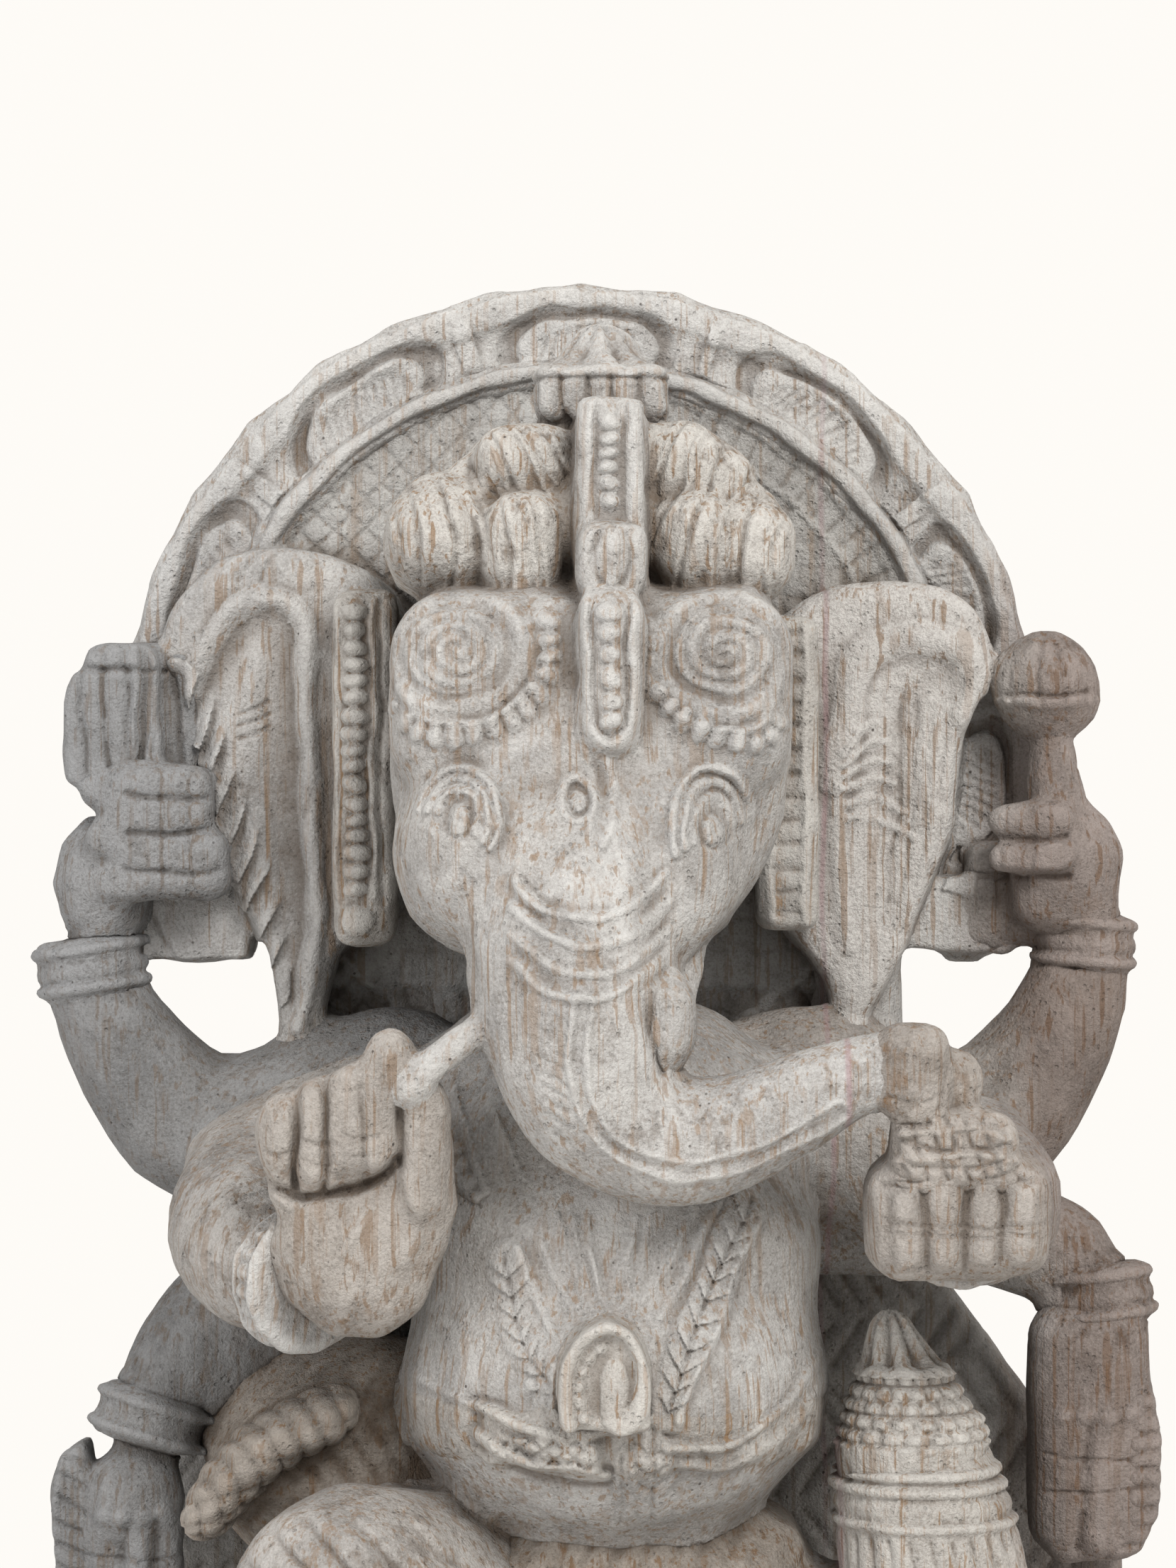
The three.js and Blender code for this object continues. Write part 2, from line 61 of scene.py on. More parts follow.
PLAIN_WEAR = 3  # blur radius that rounds the arms, which have nothing fine on them
NOOK_BLUR = 2.3  # blur that tells nooks from edges
RECESS_BLUR = 7  # blur that tells deep recesses from open stone
FOOT_KEEP = 3  # height above the floor up to which the base stays true
FOOT_FADE = 4
FACE_GAIN = 1.15  # how soon a turned face counts as facing squarely
TOOL_ROW = 17  # height of a row of chisel strokes on the back
SEED = 7


# ---- the shared field ----
def node_arrays(name):
    mesh = frame["nodes"][name].data
    points = np.empty(len(mesh.vertices) * 3, np.float32)
    mesh.vertices.foreach_get("co", points)
    mesh.calc_loop_triangles()
    corners = np.empty(len(mesh.loop_triangles) * 3, np.int32)
    mesh.loop_triangles.foreach_get("vertices", corners)
    return points.reshape(-1, 3) / MM, corners.reshape(-1, 3).astype(np.uint32)


def node_box(name):
    low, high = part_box(name)
    return np.array(low) / MM, np.array(high) / MM


class Block:
    """A box of the lattice. x, y and z are its coordinates in millimetres, shaped to broadcast."""

    def __init__(self, first, shape, voxel):
        self.first = np.array(first)
        self.shape = tuple(int(n) for n in shape)
        self.voxel = voxel
        axes = [(self.first[k] + np.arange(self.shape[k])) * voxel for k in range(3)]
        self.x = axes[0].astype(np.float32)[:, None, None]
        self.y = axes[1].astype(np.float32)[None, :, None]
        self.z = axes[2].astype(np.float32)[None, None, :]

    @classmethod
    def around(cls, low, high):
        first = np.floor(low / LATTICE).astype(int)
        last = np.ceil(high / LATTICE).astype(int)
        return cls(first, last - first + 1, LATTICE)

    def overlap(self, other):
        """Slices of this block and of the other where they share lattice points, or None."""
        low = np.maximum(self.first, other.first)
        high = np.minimum(self.first + self.shape, other.first + other.shape)
        if np.any(low >= high):
            return None
        here = tuple(slice(a - f, b - f) for a, b, f in zip(low, high, self.first))
        there = tuple(slice(a - f, b - f) for a, b, f in zip(low, high, other.first))
        return here, there

    def about(self, point):
        """Its coordinates, counted from a point."""
        return self.x - point[0], self.y - point[1], self.z - point[2]

    def finer(self):
        return Block(self.first * 2, [2 * n - 1 for n in self.shape], self.voxel / 2)


def finer_field(field):
    """The same field on a lattice of half the pitch."""
    for axis in (0, 1, 2):
        field = np.moveaxis(field, axis, 0)
        fine = np.empty((2 * field.shape[0] - 1,) + field.shape[1:], np.float32)
        fine[::2] = field
        fine[1::2] = (field[:-1] + field[1:]) * 0.5
        field = np.moveaxis(fine, 0, axis)
    return np.ascontiguousarray(field)


def melt(a, b, reach):
    """Union of two fields whose meeting edge is filled over `reach` millimetres."""
    overlap = np.maximum(reach - np.abs(a - b), 0)
    return np.minimum(a, b) - overlap * overlap * (0.25 / reach)


def smear(field, radius, voxel):
    """Box blur, twice along each axis: it wears down facets and sharp edges."""
    half = max(int(round(radius / voxel)), 0)
    if half == 0:
        return field
    for axis in (0, 1, 2):
        for _ in range(2):
            field = np.moveaxis(field, axis, 0)
            padded = np.concatenate([field[:1]] * (half + 1) + [field] + [field[-1:]] * half)
            total = np.cumsum(padded, axis=0, dtype=np.float64)
            field = ((total[2 * half + 1:] - total[:-2 * half - 1]) / (2 * half + 1)).astype(np.float32)
            field = np.moveaxis(field, 0, axis)
    return field


NODES = sorted(frame["nodes"])
BOXES = {name: node_box(name) for name in NODES}
MIDDLES = {name: sum(box) / 2 for name, box in BOXES.items()}


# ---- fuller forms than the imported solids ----
def egg(block, centre, half):
    """Distance to an ellipsoid, near enough for melting."""
    gaps = [gap / h for gap, h in zip(block.about(centre), half)]
    size = np.sqrt(gaps[0] ** 2 + gaps[1] ** 2 + gaps[2] ** 2)
    slope = np.sqrt(sum((g / h) ** 2 for g, h in zip(gaps, half)))
    return (size * (size - 1) / np.maximum(slope, 1e-4)).astype(np.float32)


def pillow(block, centre, half, rounding):
    """Distance to a box with rounded edges."""
    gaps = [np.abs(gap) - (h - rounding) for gap, h in zip(block.about(centre), half)]
    outside = np.sqrt(sum(np.maximum(g, 0) ** 2 for g in gaps))
    inside = np.minimum(np.maximum(np.maximum(gaps[0], gaps[1]), gaps[2]), 0)
    return (outside + inside - rounding).astype(np.float32)


def hoop(block, centre, radii, rounding):
    """Distance to a flat ring standing on edge, cut off at the foot of the halo's border."""
    outer, deep, inner = radii
    x, y, z = block.about(centre)
    gaps = (np.abs(np.hypot(x, z) - (outer + inner) / 2) - (outer - inner) / 2, np.abs(y) - deep,
            BOXES["halo_border"][0][2] - block.z)
    return (np.maximum(np.maximum(gaps[0], gaps[1]), gaps[2]) - rounding).astype(np.float32)


# For each member, rows of shape, offset from the middle of its CAD box, half sizes (for the hoop:
# outer radius, half depth and inner radius) and, but for an egg, rounding.
SWELLINGS = {
    "halo_border": [(hoop, (0, 2, -33.8), (124, 12, 117), 0.6)],
    "head": [
        (egg, (-0.2, -19, 3), (51, 38, 51)), (pillow, (0.4, -18, 23), (51, 34, 26), 15),
        (egg, (-27, -33, -17), (23, 30, 27)), (egg, (18, -33, -17), (22, 30, 27)),
    ],
    "trunk_root": [(egg, (2, -8, 6), (36, 20, 26))],
    "brow_pendant": [(pillow, (0, -13, 0), (8.4, 12, 21.5), 7.5)],
    "crown_core": [(egg, (0, -36, -7), (38, 30, 18)), (egg, (2, -28, 2), (34, 26, 20))],
    "crown_strip": [(pillow, (0.9, -16, -2), (8.8, 22, 21.5), 3)],
    "crown_knob": [(pillow, (0.3, -7, 3), (8.8, 14, 9), 4)],
    "lappet_left": [(pillow, (2, -8, 0), (8.6, 12, 47), 5)],
    "lappet_right": [(pillow, (0.5, -8, 0), (8.2, 12, 41.5), 4)],
    "halo_disc": [(pillow, (0, 0, -84), (83, 10, 12), 5)],
    "reed_block": [(pillow, (10, 6, 0), (12, 12, 18), 4)],
    "hand_upper_right": [
        (pillow, (4, 2, -14), (14.5, 12, 14), 8), (pillow, (-10, 14, -18), (12, 10, 14), 5),
    ],
    "chest": [(pillow, (73, 40, 34), (11, 12, 16), 8)],
    "hand_lower_right": [(pillow, (-1.5, 0, 4), (16, 13, 34), 10)],
    "tusk_stub": [(egg, (-4, -18, -5), (6.8, 12, 13.4))],
    "belly": [(egg, (0, 4, 30), (54, 51, 42))],
    "hips": [(egg, (-62, 14, 40), (42, 33, 34))],
    "crown_finial": [(egg, (0.5, 0, 3), (10, 10, 12)), (pillow, (0.5, 0, -4), (17, 16, 7.5), 5)],
    "hair_lower_left": [
        (pillow, (-9.5, -9, 1), (15, 31, 13.5), 12.5), (pillow, (11.8, -16, -1), (10.2, 29, 14), 9.5),
        (pillow, (-3, -5, 9), (16, 26, 9), 8),
    ],
    "hair_lower_right": [
        (pillow, (12, -9, -1), (10.5, 31, 12.5), 10), (pillow, (-3, -13, 0.5), (11, 30, 13), 10.5),
        (pillow, (3, -5, 8), (15, 26, 9), 8),
    ],
    "hair_upper_left": [
        (pillow, (0, -13, 0), (13.5, 28, 9.5), 9), (pillow, (-13, -5, -5), (8, 24, 7), 6.5),
    ],
    "hair_upper_right": [(pillow, (-2, -13, 0), (12, 28, 11), 10), (pillow, (9, -11, -4), (9, 26, 9), 8)],
    "hand_upper_left": [
        (pillow, (5.5, -9, 15.5), (14, 9, 9), 5), (pillow, (9, -9, -1.5), (14, 9, 7.5), 5),
    ],
    "hand_front_left": [
        (egg, (-19, -6, 13), (6.2, 7, 11)), (pillow, (-10, -6, 13), (5.6, 8, 13), 4.5),
        (pillow, (0.7, -7, 17), (7.6, 8.5, 13.5), 5), (egg, (8.5, -10, 31), (6.4, 7, 9.4)),
        (pillow, (16, -6, 10), (5.2, 8, 17), 4.5), (pillow, (1, 2, -6), (20.5, 10, 14), 9),
        (egg, (0, 1, -15), (19, 12, 22)),
    ],
    "hand_front_right": [(pillow, (0, 0.5, -1), (23, 13, 15), 8)],
    "sweets": [(pillow, (-5.7, -2, 0), (9, 10, 12), 6.5)],
    "sweet_bowl": [(pillow, (0, -2, -0.5), (16, 12, 9.5), 6)],
}


def reach(name):
    """The box of a member, its swellings included."""
    low, high = BOXES[name]
    for shape, offset, half, *_ in SWELLINGS.get(name, []):
        if shape is not hoop:
            low = np.minimum(low, MIDDLES[name] + offset - half)
            high = np.maximum(high, MIDDLES[name] + offset + half)
    return low, high


REACHES = {name: reach(name) for name in NODES}
BLOCKS = {name: Block.around(REACHES[name][0] - BAND, REACHES[name][1] + BAND) for name in NODES}


def level_set(name):
    points, triangles = node_arrays(name)
    grid = vdb.FloatGrid.createLevelSetFromPolygons(
        points, triangles=triangles, transform=vdb.createLinearTransform(voxelSize=LATTICE),
        exBandWidth=BAND / LATTICE, inBandWidth=BAND / LATTICE)
    values = np.empty(BLOCKS[name].shape, np.float32)
    grid.copyToArray(values, ijk=tuple(int(i) for i in BLOCKS[name].first))
    for shape, offset, *sizes in SWELLINGS.get(name, []):
        grown = shape(BLOCKS[name], MIDDLES[name] + offset, *sizes)
        values = melt(values, np.minimum(grown, BAND), 2 * MELT)
    return values


LEVELS = {name: level_set(name) for name in NODES}
WHOLE = Block.around(np.min([REACHES[n][0] for n in NODES], 0) - 2 * BAND,
                     np.max([REACHES[n][1] for n in NODES], 0) + 2 * BAND)


def whole_field():
    field = np.full(WHOLE.shape, BAND, np.float32)
    for name in NODES:
        here, there = WHOLE.overlap(BLOCKS[name])
        field[here] = melt(field[here], LEVELS[name][there], MELT)
    return field


def unevenness():
    """The mason's unevenness: gentle swells a few millimetres across."""
    dice = np.random.default_rng(SEED)
    total = np.zeros(WHOLE.shape, np.float32)
    for halvings, height in ((3, 0.75), (2, 0.55)):
        shape = [n // 2 ** halvings + 2 for n in WHOLE.shape]
        swells = dice.uniform(-height, height, shape).astype(np.float32)
        for _ in range(halvings):
            swells = finer_field(swells)
        total += swells[tuple(slice(n) for n in WHOLE.shape)]
    return total


STONE = whole_field()
ABOVE_FLOOR = np.clip((WHOLE.z - BOXES["plinth"][0][2] - FOOT_KEEP) / FOOT_FADE, 0, 1)
STONE += np.where(np.abs(STONE) < BAND - 1, unevenness() * ABOVE_FLOOR, 0)
RECESSES = smear(STONE[::2, ::2, ::2], RECESS_BLUR, 2 * LATTICE)


def neighbours(name, block):
    """The distance to the nearest other member, over the block."""
    nearest = np.full(block.shape, BAND, np.float32)
    for other in NODES:
        shared = block.overlap(BLOCKS[other])
        if other == name or shared is None:
            continue
        here, there = shared
        nearest[here] = np.minimum(nearest[here], LEVELS[other][there])
    return nearest


def cut_out(name, block):
    own = np.full(block.shape, BAND, np.float32)
    here, there = block.overlap(BLOCKS[name])
    own[here] = LEVELS[name][there]
    stone = STONE[WHOLE.overlap(block)[0]]
    return own - neighbours(name, block), stone


# ---- meshing ----
def sample(field, points):
    """The field at points given in its own index coordinates, blended between lattice points."""
    points = np.clip(points, 0, np.array(field.shape) - 1.001)
    cell = points.astype(int)
    part = points - cell
    total = np.zeros(len(points))
    for corner in np.ndindex(2, 2, 2):
        weight = np.prod(np.where(np.array(corner) == 1, part, 1 - part), axis=1)
        total += weight * field[tuple((cell + corner).T)]
    return total


def link(name, data):
    thing = bpy.data.objects.new(name, data)
    bpy.context.collection.objects.link(thing)
    return thing


def mesh_field(name, field, nook_field, block):
    """Meshes a field. The blurred field passed after it tells nooks from edges by its value on the skin; it
    is kept as the nook attribute, from which the stone paints shade into nooks and light onto edges.
    """
    limit = 3 * block.voxel
    field = np.clip(field, -limit, limit)
    for axis in (0, 1, 2):
        face = np.moveaxis(field, axis, 0)
        face[0] = face[-1] = limit
    grid = vdb.FloatGrid(float(limit))
    grid.copyFromArray(np.ascontiguousarray(field))
    merge = PETAL_MERGE if name == "lotus_seat" else FLAT_MERGE
    points, triangles, quads = grid.convertToPolygons(0.0, merge)
    nook = sample(nook_field, points * (nook_field.shape[0] - 1) / (field.shape[0] - 1))
    place = (points + block.first) * (block.voxel * MM)

    mesh = bpy.data.meshes.new(name + "_carved")
    mesh.vertices.add(len(place))
    mesh.vertices.foreach_set("co", place.astype(np.float32).ravel())
    corners = np.concatenate([quads[:, ::-1].ravel(), triangles[:, ::-1].ravel()]).astype(np.int32)
    sizes = np.concatenate([np.full(len(quads), 4), np.full(len(triangles), 3)]).astype(np.int32)
    starts = np.concatenate([[0], np.cumsum(sizes)[:-1]]).astype(np.int32)
    mesh.loops.add(len(corners))
    mesh.loops.foreach_set("vertex_index", corners)
    mesh.polygons.add(len(sizes))
    mesh.polygons.foreach_set("loop_start", starts)
    mesh.polygons.foreach_set("loop_total", sizes)
    mesh.polygons.foreach_set("use_smooth", np.ones(len(sizes), bool))
    # How deep in a hollow the skin lies; the stone paints shade there.
    deep = sample(RECESSES, place / (2 * LATTICE * MM) - WHOLE.first / 2)
    # A constant per member, from the table of soiling and painted shade and light.
    soil_and_shade = np.full(len(place), SOIL_AND_SHADE.get(name, 0))
    for layer, values in (("nook", nook), ("recess", deep), ("soil_and_shade", soil_and_shade)):
        attribute = mesh.attributes.new(layer, "FLOAT", "POINT")
        attribute.data.foreach_set("value", values.astype(np.float32))
    mesh.update(calc_edges=True)
    mesh.validate()
    return mesh


def facing(field, voxel, way):
    """How squarely the skin faces forward (way 1) or backward (way -1), 0 to 1."""
    front = np.zeros_like(field)
    front[:, 1:-1] = (field[:, :-2] - field[:, 2:]) / (2 * voxel)
    return np.clip(front * way * FACE_GAIN, 0, 1)


def carve(name):
    """Sculpts the member that stands for a CAD node and puts it in the scene.

    A front or a rear draws heights over x and z on a sketch, and a wrap gives heights all round."""
    wear, front = FRONTS.get(name, (PLAIN_WEAR, None))
    wear, wrap = WRAPS.get(name, (wear, None))
    low, high = REACHES[name]
    block = Block.around(low - PAD - wear, high + PAD + wear)
    step, stone = cut_out(name, block)
    field = smear(stone, wear, LATTICE)
    if name not in COARSE:
        block, field, step = block.finer(), finer_field(field), finer_field(step)
    for draw, way in ((front, 1), (REARS.get(name), -1)):
        if draw is not None:
            sketch = Sketch(block, MIDDLES[name])
            draw(sketch)
            field = field - sketch.height[:, None, :] * facing(field, block.voxel, way)
    if wrap is not None:
        field = field - wrap(block)
    # A blurred copy of the field: where it is low the stone paints shade into nooks, where it is high it
    # paints light onto edges.
    nook_field = smear(field[::2, ::2, ::2], NOOK_BLUR, 2 * block.voxel)
    dip = DIP_SLOPE * np.maximum(step, 0) + np.maximum(step - 2 * block.voxel, 0)
    mesh = mesh_field(name, field + dip, nook_field, block)
    piece = link(name + "_carved", mesh)
    mesh.materials.append(STONES[SLOTS[name]])
    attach(piece, "root")
    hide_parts(name)


# ---- drawing on the stone ----
WAVER = 0.7  # how far a hand-drawn line strays
CURVE_STEPS = 6  # straight bits between two points of a curve


def bump(distance, width):
    return np.sqrt(np.clip(1 - (distance / width) ** 2, 0, 1))


def lip(distance, width):
    return np.clip(1 - (distance / width) ** 2, 0, 1)


def notch(distance, width):
    return np.clip(1 - np.abs(distance) / width, 0, 1)


def ramp(value, soft):
    """0 below zero, 1 above `soft`, smooth between."""
    t = np.clip(value / soft, 0, 1)
    return t * t * (3 - 2 * t)


def teeth(value, pitch):
    """Distance from the nearest line of a row of lines a pitch apart."""
    return np.abs((value / pitch + 0.5) % 1 - 0.5) * pitch


def diamonds(across, up, pitch):
    """Distance from the nearest line of a lattice of diamonds."""
    return np.minimum(teeth(across + up, pitch), teeth(across - up, pitch))


def lobes(phase):
    return np.abs(np.cos(phase))


def smooth_line(points):
    """A Catmull-Rom curve through the points."""
    p = np.array([points[0], *points, points[-1]], float)
    t = np.linspace(0, 1, CURVE_STEPS, endpoint=False)[:, None]
    runs = []
    for a, b, c, d in zip(p[:-3], p[1:-2], p[2:-1], p[3:]):
        runs.append(0.5 * (2 * b + (c - a) * t + (2 * a - 5 * b + 4 * c - d) * t ** 2
                           + (3 * b - a - 3 * c + d) * t ** 3))
    return np.concatenate(runs + [p[-1:]])


def oval(centre, radii, start, end, count=14):
    """Points on an arc of an ellipse, angles in degrees."""
    angles = np.radians(np.linspace(start, end, count))
    return [(centre[0] + radii[0] * math.cos(a), centre[1] + radii[1] * math.sin(a)) for a in angles]


class Sketch:
    """Heights drawn over x and z, about the middle of a member's CAD box or another anchor."""

    def __init__(self, block, anchor):
        self.anchor = anchor
        x = block.x[:, :, 0].astype(np.float64)
        z = block.z[0, :, :].astype(np.float64)
        waver = [np.sin(0.21 * x + 0.16 * z), np.sin(0.43 * x - 0.37 * z + 2),
                 np.sin(0.29 * z - 0.13 * x + 4)]
        self.x = x - anchor[0] + WAVER * (0.6 * waver[0] + 0.4 * waver[1])
        self.z = z - anchor[2] + WAVER * (0.6 * waver[2] - 0.4 * waver[1])
        self.height = np.zeros((block.shape[0], block.shape[2]), np.float32)

    def about(self, anchor):
        """The same sheet with another middle."""
        sheet = object.__new__(Sketch)
        shift = np.array(anchor) - self.anchor
        sheet.anchor = np.array(anchor)
        sheet.x = self.x - shift[0]
        sheet.z = self.z - shift[2]
        sheet.height = self.height
        return sheet

    def add(self, height):
        self.height += height.astype(np.float32)

    def trace(self, points):
        """Distance to a curve through the points, and how far along it the nearest spot is."""
        line = smooth_line(points)
        nearest = np.full(self.height.shape, 1e3)
        along = np.zeros(self.height.shape)
        run = 0
        for (x0, z0), (x1, z1) in zip(line[:-1], line[1:]):
            length = math.hypot(x1 - x0, z1 - z0)
            if length == 0:
                continue
            tx, tz = (x1 - x0) / length, (z1 - z0) / length
            s = np.clip((self.x - x0) * tx + (self.z - z0) * tz, 0, length)
            gap = np.hypot(self.x - x0 - s * tx, self.z - z0 - s * tz)
            closer = gap < nearest
            nearest = np.where(closer, gap, nearest)
            along = np.where(closer, run + s, along)
            run += length
        return nearest, along, run

    def ridge(self, points, width, height):
        self.add(height * lip(self.trace(points)[0], width * 1.15))

    def groove(self, points, width, depth):
        self.add(-depth * notch(self.trace(points)[0], width))

    def hollow(self, points, width, depth):
        self.add(-depth * (1 - ramp(self.trace(points)[0], width)))

    def fold(self, points, width, height):
        """A lip with a sharp cut beside it, as a chisel leaves."""
        gap = self.trace(points)[0]
        self.add(height * lip(gap, width * 1.15) - 0.6 * height * notch(gap - 1.6 * width, width))

    def twin(self, points, half, width, height):
        self.add(height * lip(self.trace(points)[0] - half, width))

    def beads(self, points, pitch, width, height):
        gap, along, run = self.trace(points)
        pitch = run / max(round(run / pitch), 1)
        along_bead = (along / pitch % 1 - 0.5) * pitch * 0.95
        size = np.hypot(gap / width, along_bead / (pitch * 0.5))
        self.add(height * (0.5 * bump(size, 1) + 0.5 * lip(size, 1)))

    def leafy(self, points, pitch, width, height):
        """A band of leaves laid over each other, slanting from its middle."""
        gap, along, run = self.trace(points)
        lapped = ((along + 0.9 * gap) / (run / round(run / pitch))) % 1
        self.add(height * np.sqrt(lip(gap, width)) * (0.35 + 0.75 * lapped) - 0.5 * height * notch(gap, 0.8))

    def spiral(self, centre, radii, pitch, height, turn):
        dx, dz = (self.x - centre[0]) / radii[0], (self.z - centre[1]) / radii[1]
        size = np.hypot(dx, dz)
        phase = size * radii[0] / pitch - turn * np.arctan2(dz, dx) / (2 * math.pi)
        line = np.abs(phase % 1 - 0.5) * pitch
        self.add(height * lip(line, pitch * 0.45) * ramp(1 - size, 0.06))

    def dot(self, centre, radii, height):
        size = np.hypot((self.x - centre[0]) / radii[0], (self.z - centre[1]) / radii[1])
        self.add(height * bump(size, 1))

    def window(self, x0, x1, z0, z1, soft):
        """1 inside a rectangle, 0 outside."""
        return (ramp(self.x - x0, soft) * ramp(x1 - self.x, soft)
                * ramp(self.z - z0, soft) * ramp(z1 - self.z, soft))


# ---- head ----
LEFT_EYE = (-32.8, -8.9)
RIGHT_EYE = (30.9, -11.7)
THIRD_EYE = (-3.1, -3.8)
LEFT_SPIRAL = (-33.5, 33.6)
RIGHT_SPIRAL = (34, 33.2)


def eye(sheet, centre, radii, start, end):
    sheet.dot(centre, (7.5, 6.5), -1.1)
    for scale, height in ((1.08, 1.7), (0.82, 1.7), (0.56, 1.4)):
        points = oval((centre[0], centre[1] + 1.5), (radii[0] * scale, radii[1] * scale), start, end)
        sheet.ridge(points, 1.25, height)
    sheet.dot(centre, (3, 4.3), 2)
    sheet.dot((centre[0], centre[1] + 0.4), (1.2, 1.5), -0.7)
    sheet.ridge([(centre[0] - 6.5, centre[1] - 2.5), (centre[0], centre[1] - 5.6),
                 (centre[0] + 7, centre[1] - 2)], 1.1, 0.8)


def brow(sheet, spiral, radii, turn, lines, beads):
    sheet.dot(spiral, (radii[0] - 1, radii[1] - 1), -0.7)
    sheet.spiral(spiral, (radii[0] - 4, radii[1] - 4), 4.2, lines, turn)
    sheet.ridge(oval(spiral, radii, 0, 360, 28), 2.4, 1.4)
    sheet.ridge(oval((spiral[0], spiral[1] - 1), (radii[0] + 3.4, radii[1] + 3), 185, 355, 20), 1.2, 0.8)
    sheet.beads(beads, 5, 3.3, 2)
    sheet.ridge([(x * 0.93, z + 3.4) for x, z in beads[:6]], 1.2, 0.9)


def face(sketch):
    sheet = sketch.about(MIDDLES["head"])
    brow(sheet, LEFT_SPIRAL, (17.2, 15), 1, 1,
         [(-51.9, 21), (-45, 13.8), (-35.3, 11.8), (-24.2, 14.6), (-15.5, 19.8), (-10.6, 27), (-10.6, 36),
          (-11, 44)])
    brow(sheet, RIGHT_SPIRAL, (17.2, 15.4), -1, 1.1,
         [(15.6, 24.6), (21.5, 17.7), (28.4, 13.5), (35.3, 11.1), (43.6, 10.4), (50.2, 17.3)])
    sheet.beads([(14.6, 24), (14.2, 33), (14.6, 42)], 4.3, 2.2, 1.5)
    eye(sheet, LEFT_EYE, (9.8, 11), 178, -42)
    eye(sheet, RIGHT_EYE, (9.8, 13), 212, 5)
    sheet.dot(THIRD_EYE, (3.2, 4.4), -1.2)
    sheet.dot(THIRD_EYE, (2.1, 3.2), 1.9)
    sheet.ridge(oval(THIRD_EYE, (4.2, 5.5), 0, 360, 20), 1.1, 1.1)
    sheet.ridge([(-0.7, 9.5), (1, 1.5), (1.6, -6), (-0.7, -12.5)], 1.2, 1)
    sheet.ridge([(4.2, 6.6), (6.9, -1.3), (5.5, -10), (2.5, -14.8)], 1.2, 1)
    sheet.ridge([(-17.4, -19), (-18.2, -25.5), (-12, -30.6)], 1.3, 1)
    for level in (-33, -39.5, -46.2, -52.6):
        crease = [(-19.5, level + 9.5), (-10, level + 2.2), (0, level), (10, level + 2.6),
                  (19.5, level + 10.5)]
        sheet.fold(crease, 1.3, 0.8)


def trunk_lines(sketch):
    face(sketch)
    sheet = sketch.about(MIDDLES["head"])
    spine = [(-2.1, -53.3), (-2.6, -66), (-1.6, -76), (2.5, -84.5), (10, -91), (22.4, -94.6), (39.1, -91.3),
             (54, -84.3), (62, -80)]
    sheet.twin(spine, 2.2, 1, 0.9)
    sheet.groove(spine, 1.2, 0.5)
    for i in range(9):
        z = -57 - 3.6 * i
        sheet.groove([(-8.5, z), (-5.8, z - 1.8)], 0.9, 0.8)
        sheet.groove([(-12.5 + 0.3 * i, z - 2), (-10.5 + 0.3 * i, z - 3.4)], 0.8, 0.6)
    sheet.groove([(19.5, -44), (15.6, -52), (14.8, -62), (17.5, -71)], 1.8, 2.2)


def lobe_lines(slant, bend, pitch):
    """Hair drawn back over a rounded lobe."""
    def draw(sheet):
        strand = sheet.x * math.cos(slant) + sheet.z * math.sin(slant) + bend * sheet.z ** 2
        waves = strand + 0.35 * np.sin(sheet.z * 0.21 + sheet.x * 0.11)
        deep = 0.6 + 0.4 * np.sin(strand * 0.9 + 1)
        sheet.add(-1.2 * deep * notch(teeth(waves, pitch), pitch * 0.42))
        sheet.add(-0.6 * notch(teeth(waves * 0.63 + 0.7, pitch), pitch * 0.3))
    return draw


def pendant(sheet):
    side = [(6.2, 21), (6.6, 8), (6.5, -6), (5.2, -14)]
    outline = [(-x, z) for x, z in side] + [(0, -18.6)] + side[::-1]
    sheet.ridge(outline, 1.7, 1.2)
    sheet.groove([(x * 0.66, z * 0.9) for x, z in outline], 1, 0.8)
    sheet.beads([(0, 18), (0.2, 0), (0, -15)], 5.6, 3.5, 2)


def crown_front(sheet):
    sheet.beads([(0.6, 15), (0.8, 0), (0.8, -9)], 4.2, 2.7, 2.2)
    for side in (-1, 1):
        sheet.ridge([(0.8 + side * 4.8, 17), (0.8 + side * 5.6, 0), (0.8 + side * 6.2, -14)], 1.4, 1.1)
        sheet.groove([(0.8 + side * 3.4, 17), (0.8 + side * 3.8, -12)], 0.8, 0.5)
    sheet.ridge([(8, 19), (8.2, 0), (8.2, -18)], 1.8, 1.4)


def knob(sheet):
    sheet.ridge([(0.3, 9), (0.3, -4)], 1.6, 1)
    for side in (-1, 1):
        sheet.groove([(0.3 + side * 3.5, 9), (0.3 + side * 4.5, 1), (0.3 + side * 1.5, -5)], 1.3, 1.2)


def finial_flutes(block):
    x, y, z = block.about(MIDDLES["crown_finial"])
    angle = np.arctan2(y, x)
    skirt = ramp(2 - z, 2)
    flutes = 2.2 * np.sqrt(lobes(angle * 8)) - 1.6
    cone = 1.4 * lobes(angle * 4) - 1
    rim = 1.2 * bump(z - 1.5, 1.8) - notch(z + 0.5, 1.2)
    return (flutes * skirt + cone * (1 - skirt) + rim).astype(np.float32)


def bead_lappet(sheet):
    sheet.beads([(-0.2, 43), (-0.6, 20), (-0.3, -12), (0.2, -34)], 4.6, 3.6, 3)
    sheet.ridge([(-5.4, 44), (-5.6, 0), (-5, -34)], 0.9, 0.8)
    sheet.ridge([(4.6, 44), (4.4, 0), (4.8, -34)], 0.9, 0.9)
    sheet.groove([(6.6, 44), (6.4, 0), (6.8, -36)], 0.9, 0.9)
    sheet.dot((0.5, -40.5), (5, 4.5), 2)


def ladder_lappet(sheet):
    for x in (-4.2, 4.8):
        sheet.ridge([(x, 40), (x, -39)], 1.3, 0.8)
    inside = ramp(4.4 - np.abs(sheet.x - 0.3), 1)
    sheet.add(-inside * notch(teeth(sheet.z, 6.2), 1.6))


